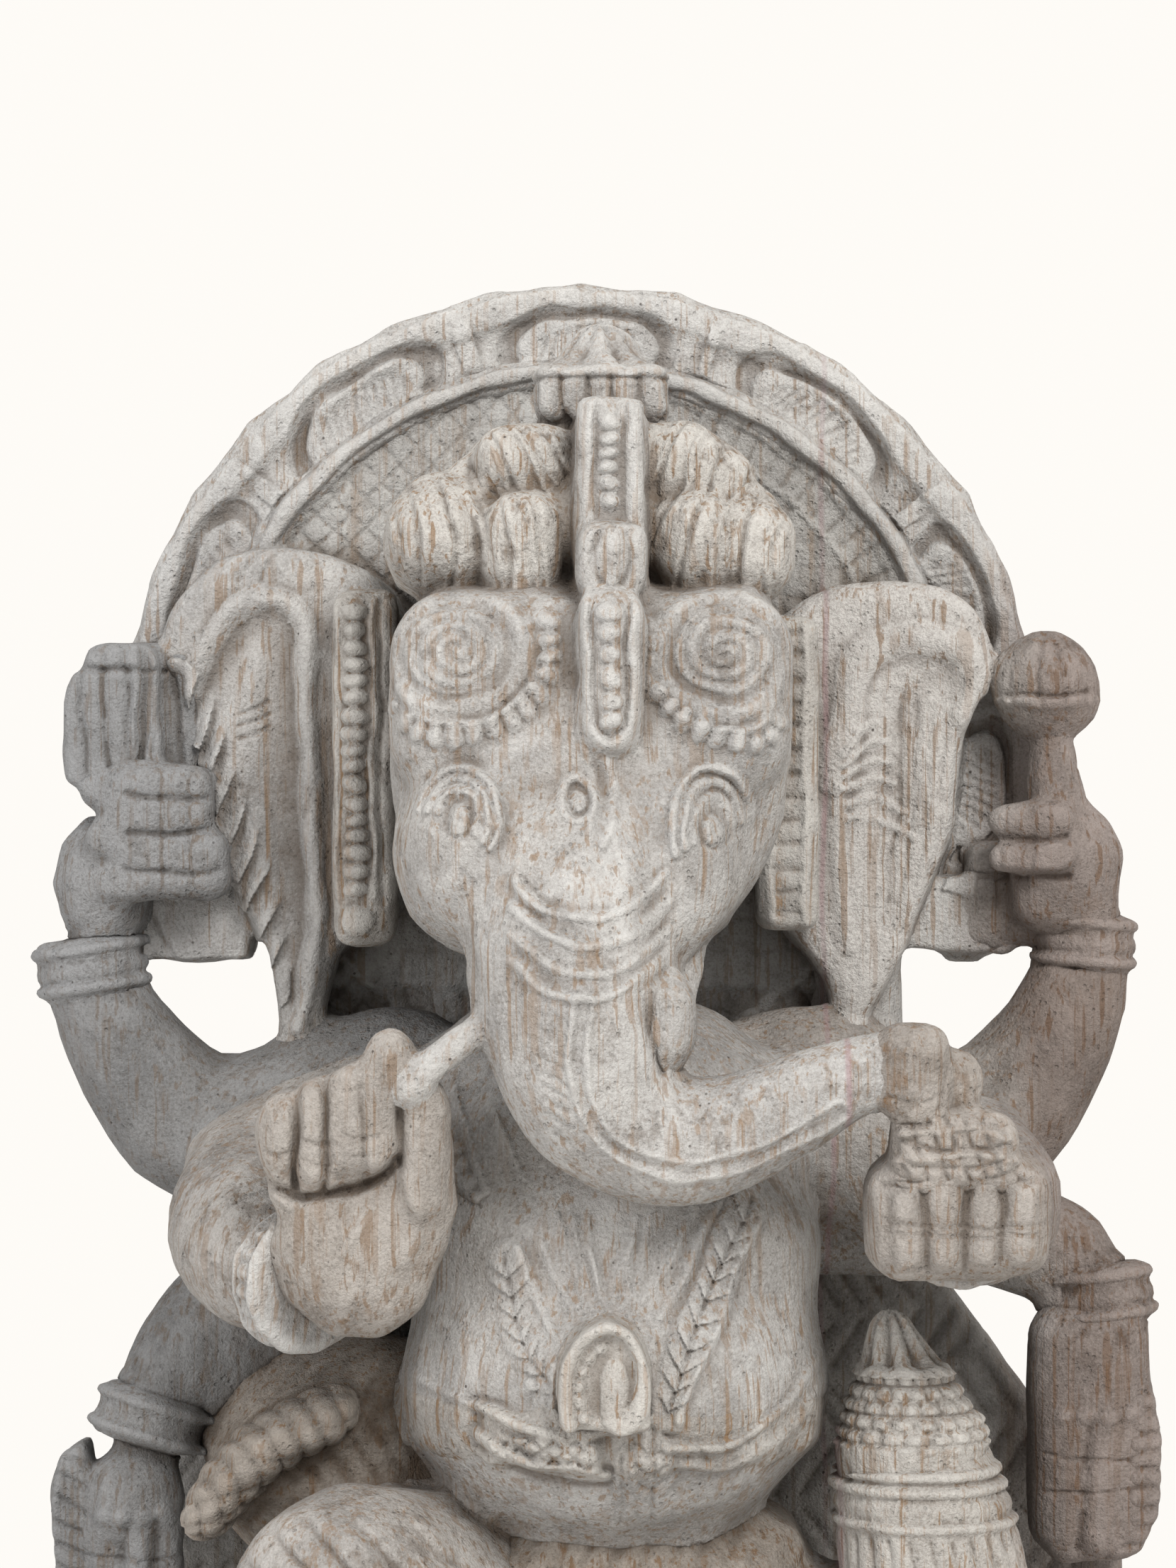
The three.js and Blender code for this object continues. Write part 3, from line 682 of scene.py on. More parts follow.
def pleats(sheet, edge, pitch, width, height):
    """Overlapping wedges along an edge, sharp below and fading inwards."""
    gap, along, run = sheet.trace(edge)
    wedge = (along + 1.2 * gap) / (run / round(run / pitch)) % 1
    sheet.add(height * (1 - ramp(gap - 0.35 * width, 0.65 * width)) * (wedge ** 1.5 - 0.35))


def left_ear(sheet):
    rim = [(-26.4, 27.8), (-23, 40), (-15.6, 50), (-4.3, 54), (3.4, 45.7), (4, 19.1), (6.6, -30.1),
           (2, -62)]
    hollow = [(-22, 26), (-17, 38), (-9, 45), (-3, 39), (-2.5, 17), (-1, -25), (0, -52)]
    sheet.hollow(hollow, 10, 2.6)
    pleats(sheet, [(-31.5, 30), (-26, 16), (-22.5, 2), (-16.5, -14), (-11.5, -32), (-7.5, -50)], 9, 11, 3.6)
    for z in (24, 20.5, 17):
        sheet.groove([(-13.5, z - 1.5), (-9.5, z), (-6.5, z + 2.2)], 0.9, 1)
    sheet.ridge(rim, 3, 2.2)
    for x in (-26, -20, -14, -8, -2):
        sheet.groove([(x - 6, 58), (x - 3, 64), (x + 1, 68)], 1, 0.8)


def right_ear(sheet):
    sheet.hollow([(6, -30), (6, 4), (10, 24), (18, 32)], 10, 1.8)
    curl = [(-9, 6), (-7, 20), (-3, 37), (6.2, 43.7), (16.6, 44.5), (25.3, 41.1), (29.5, 32.4), (26, 24)]
    sheet.ridge(curl, 4.6, 2.2)
    sheet.ridge([(-8, 4), (-8.5, -18), (-5, -40)], 2, 1.2)
    for i, tip in enumerate(((1.7, 22), (4.9, 17), (6, 11), (6.6, 5), (8.6, -1.6), (11.4, -9.6))):
        root = (-7.4 + 0.35 * i, 13.5 - 3.4 * i)
        middle = ((root[0] + tip[0]) / 2, (root[1] + tip[1]) / 2 + 2.4)
        sheet.fold([root, middle, tip], 1.1, 0.55)
    for i in range(6):
        x = 9 + 3.6 * i
        sheet.groove([(x, 30 - 3 * i), (x - 1, 4 - 2 * i), (x - 4, -26 + 2 * i)], 1.1, 0.7)


# ---- halo ----
RING_LOW, RING_HIGH = BOXES["halo_ring"]
RING_REACH = (RING_HIGH[0] - RING_LOW[0]) / 2
HALO = np.array([(RING_LOW[0] + RING_HIGH[0]) / 2, RING_LOW[1], RING_HIGH[2] - RING_REACH])
LEAVES = ((73, 105, 0), (107, 140, 1), (142, 171, 1), (173, 200, 1), (36, 70, -1), (8, 34, -1), (-20, 6, -1))
LEAF_FOOT = RING_REACH + 1.5
LEAF_TIP = RING_REACH + 17.5
RIM_LOBES = 19
RIM_END = 0.32


def polar(sketch):
    sheet = sketch.about(HALO)
    return sheet, np.hypot(sheet.x, sheet.z), np.degrees(np.arctan2(sheet.z, sheet.x))


def border_leaves(sketch):
    sheet, reach, angle = polar(sketch)
    angle = np.where(angle < -90, angle + 360, angle)
    for low, high, lean in LEAVES:
        half = (high - low) / 2
        side = (angle - (low + high) / 2) / half
        tall = (reach - LEAF_FOOT) / (LEAF_TIP - LEAF_FOOT)
        leaning = side + 0.18 * lean * tall
        size = (np.abs(leaning) ** 3 + np.clip(tall, 0, None) ** 3) ** (1 / 3)
        inside = (np.abs(side) < 1.15) & (tall > -0.1)
        edge = 1.4 * bump((size - 0.97) * 16, 4.2) + 0.9 * ramp(0.62 - size, 0.10)
        veins = -0.7 * notch(teeth(angle * 2.1 + 0.4 * reach, 3.3), 1.1) * ramp(0.5 - size, 0.06)
        ground = -1.8 * ramp(size - 0.60, 0.05) * ramp(0.84 - size, 0.08)
        sheet.add(np.where(inside, edge + veins + ground, 0))
        for end in (-1, 1) if lean == 0 else (-lean,):
            at = math.radians((low + high) / 2 + end * half * 0.66)
            curl = ((LEAF_FOOT + 4.6) * math.cos(at), (LEAF_FOOT + 4.6) * math.sin(at))
            sheet.dot(curl, (4.8, 4.8), 1)
    steps = math.degrees(math.pi + 2 * RIM_END) / RIM_LOBES
    first = math.degrees(-RIM_END)
    cut = teeth(angle - first, steps) * math.radians(1) * reach
    sheet.add(-1.2 * notch(cut, 1.9) * ramp(reach - LEAF_TIP - 0.5, 3))
    sheet.add(-1.1 * notch(reach - LEAF_TIP - 1.8, 1.4))


def ring_lines(sketch):
    sheet, reach, _ = polar(sketch)
    middle = RING_REACH - 3.3
    sheet.add(1.4 * bump(reach - middle, 2.4) - 0.9 * notch(np.abs(reach - middle) - 2.6, 0.9))


def disc_lines(sketch):
    sheet, reach, angle = polar(sketch)
    left = ramp(angle - 92, 3)
    rim = RING_REACH - 6.6
    sheet.add(-0.8 * left * notch(diamonds(sheet.x, sheet.z, 9), 1.3))
    rungs = teeth(angle * math.radians(1) * rim, 6.4)
    band = ramp(reach - (rim - 11), 1)
    sheet.add((1 - left) * band * -0.8 * notch(rungs, 1.2))
    for line in (rim - 1.2, rim - 11):
        sheet.add((1 - left) * 0.8 * bump(reach - line, 1.3))
    grid = np.minimum(teeth(sheet.x, 8), teeth(sheet.z, 8))
    sheet.add(-0.6 * (1 - left) * (1 - band) * notch(grid, 1.2))


def tooling(sheet):
    """The rough dressing of the back: rows of short slanting chisel strokes."""
    level = sheet.z / TOOL_ROW + 0.25 * np.sin(sheet.x / 31)
    row = np.floor(level)
    slant = np.where(row % 2 == 0, 0.75, -0.6)
    stroke = teeth(sheet.x + slant * sheet.z + 2.3 * row, 7.5)
    within = np.abs(level - row - 0.5)
    sheet.add(-1.1 * notch(stroke, 2.2) * ramp(0.46 - within, 0.12))


def slab_back(sheet):
    tooling(sheet)
    edge = [(-138, -118), (-136, -34), (-115, 0), (-90, 36), (-70, 70), (-54, 98), (-52, 112), (50, 112),
            (56, 84), (72, 64), (94, 36), (116, 2), (138, -34), (139, -118)]
    gap = np.full(sheet.height.shape, 1e3)
    for start, end in zip(edge[:-1], edge[1:]):
        gap = np.minimum(gap, sheet.trace([start, end])[0])
    sheet.add(-1.6 * notch(gap, 2.4))


def halo_back(sketch):
    tooling(sketch)
    _, reach, _ = polar(sketch)
    for line in (RING_REACH + 2, RING_REACH + 12):
        sketch.add(-1.5 * notch(reach - line, 2.2))


# ---- body ----
def belly_lines(sketch):
    sheet = sketch.about(MIDDLES["belly"])
    sheet.leafy([(34, 47), (26.5, 31), (20.2, 17), (15.8, 5), (12.4, -4)], 5.4, 5.2, 2.3)
    sheet.ridge([(37, 43), (31, 29), (25, 16), (20, 4), (15, -6)], 1.1, 1.2)
    sheet.ridge([(26, 46), (18, 31), (11, 19)], 1.2, 1.1)
    sheet.ridge([(20, 46), (13, 32), (7, 23)], 1, 0.8)
    sheet.leafy([(-27.5, 33), (-25.5, 21), (-22, 10), (-15, 1)], 5.4, 5, 2)
    sheet.ridge([(-24.5, 36), (-20.5, 25), (-15, 15)], 1.2, 1.1)
    sheet.ridge([(-19.5, 38), (-15.5, 28), (-10.5, 20)], 1.1, 0.9)
    sheet.ridge([(-7, 36), (-4.5, 28), (-2.3, 22)], 1, 0.8)
    sheet.ridge([(4.5, 38), (1.5, 30), (-1, 23)], 1, 0.8)
    sheet.beads([(-24, 3), (-18, -2), (-10, -3), (-5, -3)], 4.6, 3, 1.4)
    sheet.add(2 * sheet.window(-34, -3, -20, -2.5, 3))
    hem = sheet.window(-32, -4, -18.5, -9, 1.2)
    sheet.add(hem * (1.2 - 1.1 * notch(diamonds(sheet.x, sheet.z, 5.2), 1.1)))
    sheet.fold([(-34, -3.5), (-18, -8.4), (-3, -8.8)], 1.4, 1.2)
    sheet.fold([(-34, -11), (-19.8, -18), (-3, -19.6)], 1.7, 1.7)
    sheet.fold([(-55, 2), (-44, -1.5), (-33, -4.4)], 1.2, 0.8)
    sheet.fold([(12.4, -11.7), (27, -13.2), (41.6, -5.9), (57, 10)], 1.5, 1.2)
    sheet.fold([(16.8, -18), (30, -19.4), (44.5, -11), (58, 4)], 1.3, 0.8)
    for x, foot in ((-11, 22), (-8, 20), (-5, 19), (3.5, 21), (6.5, 23)):
        sheet.ridge([(1.3 * x, 44), (x, foot + 9), (0.7 * x, foot)], 0.9, 0.7)
    for x in (20, 26, 32, 38, 44, 49):
        sheet.groove([(x, -11.5 + 0.012 * (x - 20) ** 2), (x + 2.4, -17 + 0.014 * (x - 20) ** 2)], 0.8, 0.7)
    sheet.dot((9, -21), (5.6, 13.5), 2)
    sheet.groove([(9, -8), (9.6, -20), (8.6, -34)], 0.9, 1.1)
    for rise in (-14, -19, -24):
        sheet.groove([(5.5, rise + 2.5), (9, rise), (12.5, rise + 2.5)], 0.8, 0.8)
    sheet.dot((2.2, -23), (3.4, 12), 1.4)
    sheet.groove([(1.6, -14), (0.8, -34)], 0.9, 1.2)


def clasp(sheet):
    arch = [(-9.5, -14), (-10, -1), (-7, 8), (-0.5, 12), (6.5, 8.5), (9.5, 0), (8, -9), (4, -15)]
    sheet.dot((0, -1), (8, 11), -1.4)
    sheet.ridge(arch, 2.3, 2.1)
    sheet.beads([(-5.2, -12), (-5.6, -2), (-3.5, 4), (0, 6.5)], 3.4, 1.7, 1.4)
    sheet.dot((2.2, -5.5), (3.6, 9), 2.2)


def chest_lines(sketch):
    sheet = sketch.about(MIDDLES["chest"])
    for i, (wide, drop) in enumerate(((48, -14), (43, -19), (37, -25))):
        line = [(-wide, 18), (-wide * 0.8, 2 + drop * 0.3), (-wide * 0.45, drop - 6), (0, drop - 13),
                (wide * 0.45, drop - 6), (wide * 0.8, 2 + drop * 0.3), (wide, 18)]
        if i == 1:
            sheet.beads(line, 4.2, 2.2, 1.7)
        else:
            sheet.ridge(line, 1.3, 1.2)
    sheet.ridge([(-26, 12), (-18, -6), (-8, -22)], 1.1, 1)


def thigh(slant, hem):
    """Soft folds of a wrapped cloth, and the two lines of its hem."""
    def draw(sheet):
        across = sheet.x * math.sin(slant) + sheet.z * math.cos(slant)
        across = across + 1.6 * np.sin(sheet.x * 0.09 + sheet.z * 0.04)
        sheet.add(0.8 * (0.5 - 2.2 * notch(teeth(across, 9) / 9, 0.2)))
        for drop in (0, 4):
            sheet.ridge([(x, z - drop) for x, z in hem], 1.2, 1.2)
    return draw


def toes(along, pitch):
    def draw(sheet):
        offset = sheet.z if along == "x" else sheet.x
        sheet.add(-1.8 * notch(teeth(offset + pitch / 2, pitch), 1.3))
    return draw


def garland(block):
    """A rope of flower heads, all round."""
    x, y, z = block.about(MIDDLES["lap_garland"])
    along = x * 0.8 + z * 0.6
    around = np.arctan2(y, z * 0.8 - x * 0.6)
    heads = lobes(math.pi * along / 6.6 + 0.9 * np.sin(2 * around + 0.5))
    split = lobes(3.5 * around + 0.2 * along)
    return (1.3 * np.sqrt(heads) + 0.8 * np.sqrt(split) - 3).astype(np.float32)


# ---- hands ----
def fist(sheet):
    for x in (-18.5, -8.6, 1.3, 10):
        sheet.groove([(x, 6), (x, 0), (x * 0.96, -14.5)], 2.1, 1.3)
    for x in (-13.5, -3.7, 5.7, 15.5):
        for z in (-2.6, -4.6):
            sheet.groove([(x - 4, z + 0.6), (x, z), (x + 4, z + 0.6)], 0.8, 0.8)
        sheet.dot((x, 3), (4.2, 4.6), 0.8)
        sheet.dot((x, -9), (4, 4.2), 0.5)
    sheet.groove([(-19, 8), (-8, 9.5), (8, 9.8), (18, 8.6)], 1.3, 1.6)


def palm(sheet):
    sheet.groove([(-24, 1.5), (-14, -1.6), (-4, -1), (6, 3.5), (9.5, 8)], 2.2, 3.2)
    gaps = ((-15.6, 30, 1, 3.6), (-8.4, 28, 0.5, 2.6), (1.2, 26, 2, 1.4), (10.6, 24, 6, 3.4))
    for x, top, foot, deep in gaps:
        sheet.groove([(x, top), (x + 0.3, (top + foot) / 2), (x + 0.2, foot)], 1.6, deep)
    for x, z, wide in ((-19.5, 9.5, 3.6), (-9.5, 12, 3.6), (1, 14, 5)):
        sheet.groove([(x - wide, z), (x, z - 0.8), (x + wide, z)], 0.8, 0.9)
        sheet.groove([(x - wide, z - 4.5), (x, z - 5.2), (x + wide, z - 4.5)], 0.7, 0.6)
    sheet.groove([(-22, -2), (-18, -6), (-14.5, -4), (-12, -1)], 0.6, 0.8)
    sheet.ridge([(-6, -18), (-1, -12), (3, -6)], 1.2, 0.7)
    sheet.ridge([(12.5, 2), (15, -8), (12, -18)], 2.4, 0.9)


def side_fingers(side, levels):
    def draw(sheet):
        for z in levels:
            sheet.groove([(-side * 3, z), (side * 8, z - 0.6), (side * 22, z)], 1.5, 1.6)
        for x in (6, 13.5):
            sheet.groove([(side * x, levels[0] + 14), (side * (x + 0.8), levels[-1] - 9)], 0.8, 0.7)
    return draw


def hanging_fingers(columns, knuckles):
    def draw(sheet):
        for x in columns:
            sheet.groove([(x + 2, knuckles + 1), (x, knuckles - 12), (x - 0.6, -26)], 2.2, 1.2)
        for z in (knuckles - 8, knuckles - 17):
            sheet.groove([(-14, z + 0.5), (0, z), (14, z + 0.5)], 0.8, 0.9)
        sheet.beads([(-12, knuckles + 4), (0, knuckles + 3), (12, knuckles + 4)], 6, 3, 1.2)
    return draw


def rings(name, axis, lines, beads=0):
    """Turned mouldings round a bracelet, and beads between them."""
    axis = np.array(axis, float) / np.linalg.norm(axis)
    side = np.cross(axis, (0, 1, 0) if abs(axis[1]) < 0.8 else (0, 0, 1))
    side = side / np.linalg.norm(side)
    other = np.cross(axis, side)

    def draw(block):
        gaps = block.about(MIDDLES[name])
        along, across, out = (sum(g * a for g, a in zip(gaps, way)) for way in (axis, side, other))
        height = np.full(block.shape, -0.5, np.float32)
        for place, width, rise in lines:
            height += (rise * bump(along - place, width)).astype(np.float32)
        if beads:
            turn = np.arctan2(across, out)
            height += (1.3 * lobes(turn * beads / 2) * bump(along, 2.6)).astype(np.float32)
        return height
    return draw


# ---- what the hands hold ----
def reeds(sheet):
    top = ramp(sheet.z - 11.5, 0.8)
    sheet.add(-1.3 * (1 - top) * notch(teeth(sheet.x + 1.5 + 0.06 * sheet.z, 6.2), 1.4))
    sheet.groove([(-14, 11.5), (0, 12), (14, 11.5)], 1.3, 1.8)
    sheet.add(-0.9 * top * notch(teeth(sheet.x + 2.5, 6), 1.2))
    sheet.groove([(9.2, 17), (8.6, 0), (8.2, -19)], 2.2, 3.2)


def bud_band(sheet):
    sheet.ridge([(-15, -3.6), (0, -4.8), (15, -3.6)], 1.6, 1.4)
    sheet.groove([(-15, -1.4), (0, -2.6), (15, -1.4)], 1, 1)
    for x in (-9, -3, 3, 9):
        sheet.groove([(x * 1.1, -5), (x * 1.2, 5), (x * 0.4, 14)], 1, 1)


def leaf_ribs(sheet):
    sheet.add(-1.3 * notch(teeth(sheet.z + 0.5 * sheet.x, 6), 1.5))
    sheet.ridge([(-3, 28), (-4.5, 0), (-1, -28)], 1.2, 1)


def tablet_ridges(sheet):
    sheet.add(0.8 - 1.1 * notch(teeth(sheet.z, 5), 1.4))


def woven(sheet):
    for z in (4.6, -1.2):
        sheet.ridge([(-16, z - 1.8), (-4, z - 0.2), (6, z + 0.6), (16, z - 2.6)], 1, 1.1)
    slanting = np.minimum(teeth(sheet.x + 0.35 * sheet.z, 4.6), teeth(sheet.z - 0.012 * sheet.x ** 2, 4.4))
    sheet.add(-1.3 * notch(slanting, 1.1) * ramp(8.5 - np.abs(sheet.z), 1))
    sheet.ridge([(1.5, 8), (0.5, 0), (1, -8)], 1, 0.9)


def sweet_lumps(sheet):
    sheet.dot((-6, 2), (6.5, 7), 0.9)
    sheet.groove([(1.5, 11), (2.5, 2), (0.5, -9)], 1.3, 1.8)
    sheet.groove([(-12, -5.5), (-5, -7), (1, -5)], 1, 1)
    sheet.groove([(-10, 6), (-6, 8.5), (-2, 6)], 0.9, 0.7)


POT_LEAN = -0.17
POT_TALL = BOXES["pot"][1][2] - BOXES["pot"][0][2]


def pot_axis(block, floor):
    """Angle round the leaning pot, and height above the pot's floor."""
    rise = block.z - BOXES["pot"][0][2]
    x = block.x - (MIDDLES["pot"][0] + POT_LEAN * (rise - POT_TALL / 2))
    return np.arctan2(block.y - MIDDLES["pot"][1], x), rise - floor


def pot_flutes(block):
    angle, rise = pot_axis(block, 0)
    fluted = ramp(rise - 15, 1.5) * ramp(31 - rise, 1.5)
    flutes = (1.5 * np.sqrt(lobes(angle * 13 + rise * 0.02)) - 1.1) * fluted
    slanted = (1.4 * lobes(angle * 11 - rise * 0.12) - 0.9) * ramp(4.5 - rise, 1.5)
    height = flutes + slanted
    for level, width, tall in ((6, 1.6, 1.4), (10.2, 1.5, 1.2), (13.6, 1.3, 1.1), (33, 1.4, 1.4),
                               (37.5, 2.2, 0.8), (42, 1.5, 1.6), (46, 1.5, 1.4)):
        height = height + tall * bump(rise - level, width)
    return height.astype(np.float32)


def lid_petals(block):
    angle, rise = pot_axis(block, POT_TALL)
    rows = 3.6
    row = np.floor(rise / rows)
    turn = angle * 9 + row * math.pi / 2
    within = (rise / rows) % 1 - 0.5
    beads = 1.9 * np.sqrt(lobes(turn)) * bump(within, 0.5) - 1
    dome = beads * ramp(rise - 1.5, 1) * ramp(21 - rise, 1)
    petals = (2.2 * lobes(angle * 4) - 1.2) * ramp(rise - 21.5, 1)
    collar = 1.6 * bump(rise - 21.2, 1.5)
    return (dome + petals + collar).astype(np.float32)


# ---- base ----
def plinth_mouldings(block):
    rise = block.z - BOXES["plinth"][0][2]
    level = -1.6 * notch(rise - 14, 1.4) + bump(rise - 18, 2.4) - 0.8 * notch(rise - 3.5, 1)
    diamond = diamonds(block.x + block.y, rise, 10.4)
    band = ramp(rise - 4.6, 0.8) * ramp(12.8 - rise, 0.8)
    skirt = ramp(20.5 - rise, 1) * ramp(rise - 0.8, 0.6)
    return (skirt * (level - band * notch(diamond, 1.1))).astype(np.float32)


SEAT_SIZE = BOXES["lotus_seat"][1] - BOXES["lotus_seat"][0]
PETALS = 34


def lotus_petals(block):
    x, y, _ = block.about(MIDDLES["lotus_seat"])
    turn = np.arctan2(y, x * (SEAT_SIZE[1] / SEAT_SIZE[0])) / (2 * math.pi) * PETALS
    rise = (block.z - BOXES["lotus_seat"][0][2]) / SEAT_SIZE[2]
    height = np.zeros(block.shape, np.float32)
    for shift, foot, tip, tall in ((0, 0.02, 0.62, 2.8), (0.5, 0.36, 1.02, 1.8)):
        side = np.abs((turn + shift) % 1 - 0.5) * 2
        up = np.clip((rise - foot) / (tip - foot), 0, 1)
        width = np.sqrt(np.clip(1 - up ** 2.6, 0, 1))
        inside = ramp(width - side, 0.16) * ((rise > foot) & (rise < tip))
        shape = 1 - 0.35 * notch(width - side - 0.22, 0.16) + 0.2 * notch(side, 0.12)
        height = np.maximum(height, (tall * inside * shape).astype(np.float32))
    edge = ramp(0.96 - rise, 0.04)
    return (height - 1.2) * edge


# ---- every member ----
SLOTS = {row["node"]: row["material_slot"] for row in frame["record"]["subparts"]}
THREE_LINES = ((-5.2, 1.6, 1.3), (-0.5, 2, 0.9), (5.2, 1.6, 1.3))
TWO_LINES = ((-4.2, 1.5, 1.3), (4.2, 1.5, 1.3))
# For each bracelet, the way it runs, its mouldings and, where it has them, its beads.
BRACELETS = {
    "bracelet_upper_left": ((-0.15, 0, 1), THREE_LINES),
    "bracelet_upper_right": ((0.08, 0, 1), THREE_LINES),
    "bracelet_lower_left": ((0.3, 0.1, 1), TWO_LINES),
    "bracelet_lower_right": ((-0.12, 0.05, 1), THREE_LINES),
    "bracelet_front_left": ((0.5, -0.75, -0.1), TWO_LINES, 22),
    "bracelet_front_right": ((-0.1, -1, 0.05), TWO_LINES, 22),
}
# For each member, the radius of the blur that wears it down, and what is drawn over its front.
FRONTS = {
    "head": (1.6, face), "trunk_root": (1.6, face), "trunk_curl": (1.8, trunk_lines),
    "tusk_stub": (1, None), "brow_pendant": (0.6, pendant), "crown_strip": (0.6, crown_front),
    "crown_knob": (1, knob), "crown_core": (1.4, lobe_lines(0.1, 0, 3)),
    "hair_upper_left": (1.4, lobe_lines(0.45, 0.012, 2.7)),
    "hair_upper_right": (1.4, lobe_lines(-0.4, -0.012, 2.7)),
    "hair_lower_left": (1.4, lobe_lines(0.12, 0.012, 2.8)),
    "hair_lower_right": (1.4, lobe_lines(-0.28, -0.014, 2.8)), "lappet_left": (0.6, bead_lappet),
    "lappet_right": (0.6, ladder_lappet), "ear_left": (1.8, left_ear), "ear_right": (1.8, right_ear),
    "halo_border": (1.2, border_leaves), "halo_ring": (1, ring_lines), "halo_disc": (1.2, disc_lines),
    "back_slab": (2.2, tooling), "chest": (3.4, chest_lines), "belly": (3.4, belly_lines),
    "waist_band": (2.4, belly_lines), "waist_buckle": (0.8, clasp), "hips": (2.6, tooling),
    "leg_left": (3.4, thigh(0.75, [(-44, 14), (-20, 22), (8, 25), (40, 16)])),
    "leg_right": (3.4, thigh(-0.6, [(-30, 18), (0, 18), (30, 10), (55, 0)])),
    "foot_left": (1, toes("z", 4.2)),
    "foot_right": (1, toes("x", 4.6)), "hand_front_left": (0.6, palm), "hand_front_right": (0.6, fist),
    "hand_upper_left": (0.8, side_fingers(1, (16.5, 7, -3.5))),
    "hand_upper_right": (0.8, side_fingers(-1, (-2.5, -13))),
    "hand_lower_left": (0.8, hanging_fingers((-3.8, 4.4), 8)),
    "hand_lower_right": (0.8, hanging_fingers((-4,), 6)), "broken_tusk": (0.6, None),
    "sweets": (0.8, sweet_lumps), "sweet_bowl": (0.8, woven), "reed_block": (0.8, reeds),
    "lotus_bud": (1.2, bud_band), "leaf_blade": (0.8, leaf_ribs), "ridged_tablet": (0.8, tablet_ridges),
}
# The same for members that are carved all round.
WRAPS = {
    "crown_finial": (0.4, finial_flutes), "lap_garland": (2.4, garland), "pot": (0.6, pot_flutes),
    "pot_lid": (0.6, lid_petals), "lotus_seat": (1, lotus_petals), "plinth": (0.4, plinth_mouldings),
    **{name: (0.8, rings(name, *row)) for name, row in BRACELETS.items()},
}
REARS = {"halo_border": halo_back, "halo_ring": halo_back, "halo_disc": halo_back, "back_slab": slab_back}
COARSE = {name for name in NODES if name.startswith("arm_")} | {"back_slab", "hips", "plinth"}
# How dark or light each member is painted, from 1 for soiled to -1 for chalky: partly real soiling and
# chalk, partly painted shade on members that sit in shadow and painted light on members that catch the
# light.
SOIL_AND_SHADE = {
    "hand_front_left": 0.65, "arm_front_left": 0.4, "hand_front_right": 0.5, "sweets": 0.6,
    "sweet_bowl": 0.55, "leg_left": 0.4, "leg_right": 0.3, "arm_upper_right": 0.45, "lotus_bud": 0.2,
    "hand_upper_right": 0.1, "hand_upper_left": -0.6, "reed_block": -0.5, "bracelet_upper_left": -0.6,
    "bracelet_lower_left": -0.4, "hand_lower_left": -0.3, "arm_upper_left": -0.1, "lap_garland": 0.8,
    "hips": 0.8, "back_slab": 0.3, "ear_right": -0.75, "head": -0.1, "trunk_root": -0.2, "trunk_curl": -0.25,
    "hair_upper_left": -0.4, "hair_upper_right": -0.4, "hair_lower_left": -0.4, "hair_lower_right": -0.4,
    "pot": -0.2, "pot_lid": -0.2, "halo_border": -0.45, "halo_disc": -0.3, "crown_core": -0.3, "chest": 0.1,
}


# ---- stone ----
class Graph:
    """Short hand for building a node tree."""

    def __init__(self, material):
        self.tree = material.node_tree
        self.place = self.tree.nodes.new("ShaderNodeTexCoord").outputs["Object"]

    def feed(self, socket, value):
        if isinstance(value, bpy.types.NodeSocket):
            self.tree.links.new(value, socket)
        else:
            socket.default_value = value

    def node(self, kind, settings=None, **inputs):
        node = self.tree.nodes.new(kind)
        for key, value in (settings or {}).items():
            setattr(node, key, value)
        for key, value in inputs.items():
            self.feed(node.inputs[key], value)
        return node

    def attribute(self, name):
        return self.node("ShaderNodeAttribute", dict(attribute_name=name)).outputs["Fac"]

    def noise(self, scale, detail=4, rough=0.55, stretch=(1, 1, 1), warp=0):
        place = self.node("ShaderNodeMapping", Vector=self.place, Scale=stretch).outputs["Vector"]
        return self.node("ShaderNodeTexNoise", Vector=place, Scale=scale, Detail=detail, Roughness=rough,
                         Distortion=warp).outputs["Fac"]

    def steps(self, value, low, high, start=0, end=1):
        node = self.node("ShaderNodeMapRange", dict(interpolation_type="SMOOTHSTEP"), Value=value)
        for key, number in zip(("From Min", "From Max", "To Min", "To Max"), (low, high, start, end)):
            node.inputs[key].default_value = number
        return node.outputs["Result"]

    def math(self, operation, a, b=0):
        node = self.node("ShaderNodeMath", dict(operation=operation))
        self.feed(node.inputs[0], a)
        self.feed(node.inputs[1], b)
        return node.outputs[0]

    def times(self, a, b):
        return self.math("MULTIPLY", a, b)

    def mix(self, factor, a, b, blend="MIX"):
        node = self.node("ShaderNodeMix", dict(data_type="RGBA", blend_type=blend))
        for socket, value in zip((node.inputs[0], node.inputs[6], node.inputs[7]), (factor, a, b)):
            self.feed(socket, (*value, 1) if isinstance(value, tuple) else value)
        return node.outputs[2]


PALE = (0.348, 0.337, 0.322)
GREY = (0.236, 0.230, 0.223)
# Chalk, the pale bloom of the stone, also used for painted highlight on edges and painted light on members
# that catch the light.
CHALK_AND_HIGHLIGHT = (0.485, 0.478, 0.466)
RUST = (0.185, 0.112, 0.056)
# Umber, the brown of the stone's dirt and grain, also used for painted shade in nooks.
UMBER_AND_SHADE = (0.085, 0.064, 0.048)
# Dark brown for deep recesses: dirt and painted shade.
GRIME_AND_SHADE = (0.125, 0.10, 0.08)
SOOT = (0.045, 0.035, 0.03)
TINTS_AND_SHADE = {
    "stone_pale": (1, 1, 1),
    "stone_warm": (0.97, 0.95, 0.92),
    # Darkened far below the stone's own tone: painted shade on the members in this slot, which sit back in
    # shadow.
    "stone_cool": (0.56, 0.57, 0.585),
    "stone_mauve": (0.93, 0.91, 0.895),
    "stone_back": (0.92, 0.92, 0.91),
}
MAUVE = (0.60, 0.53, 0.51)
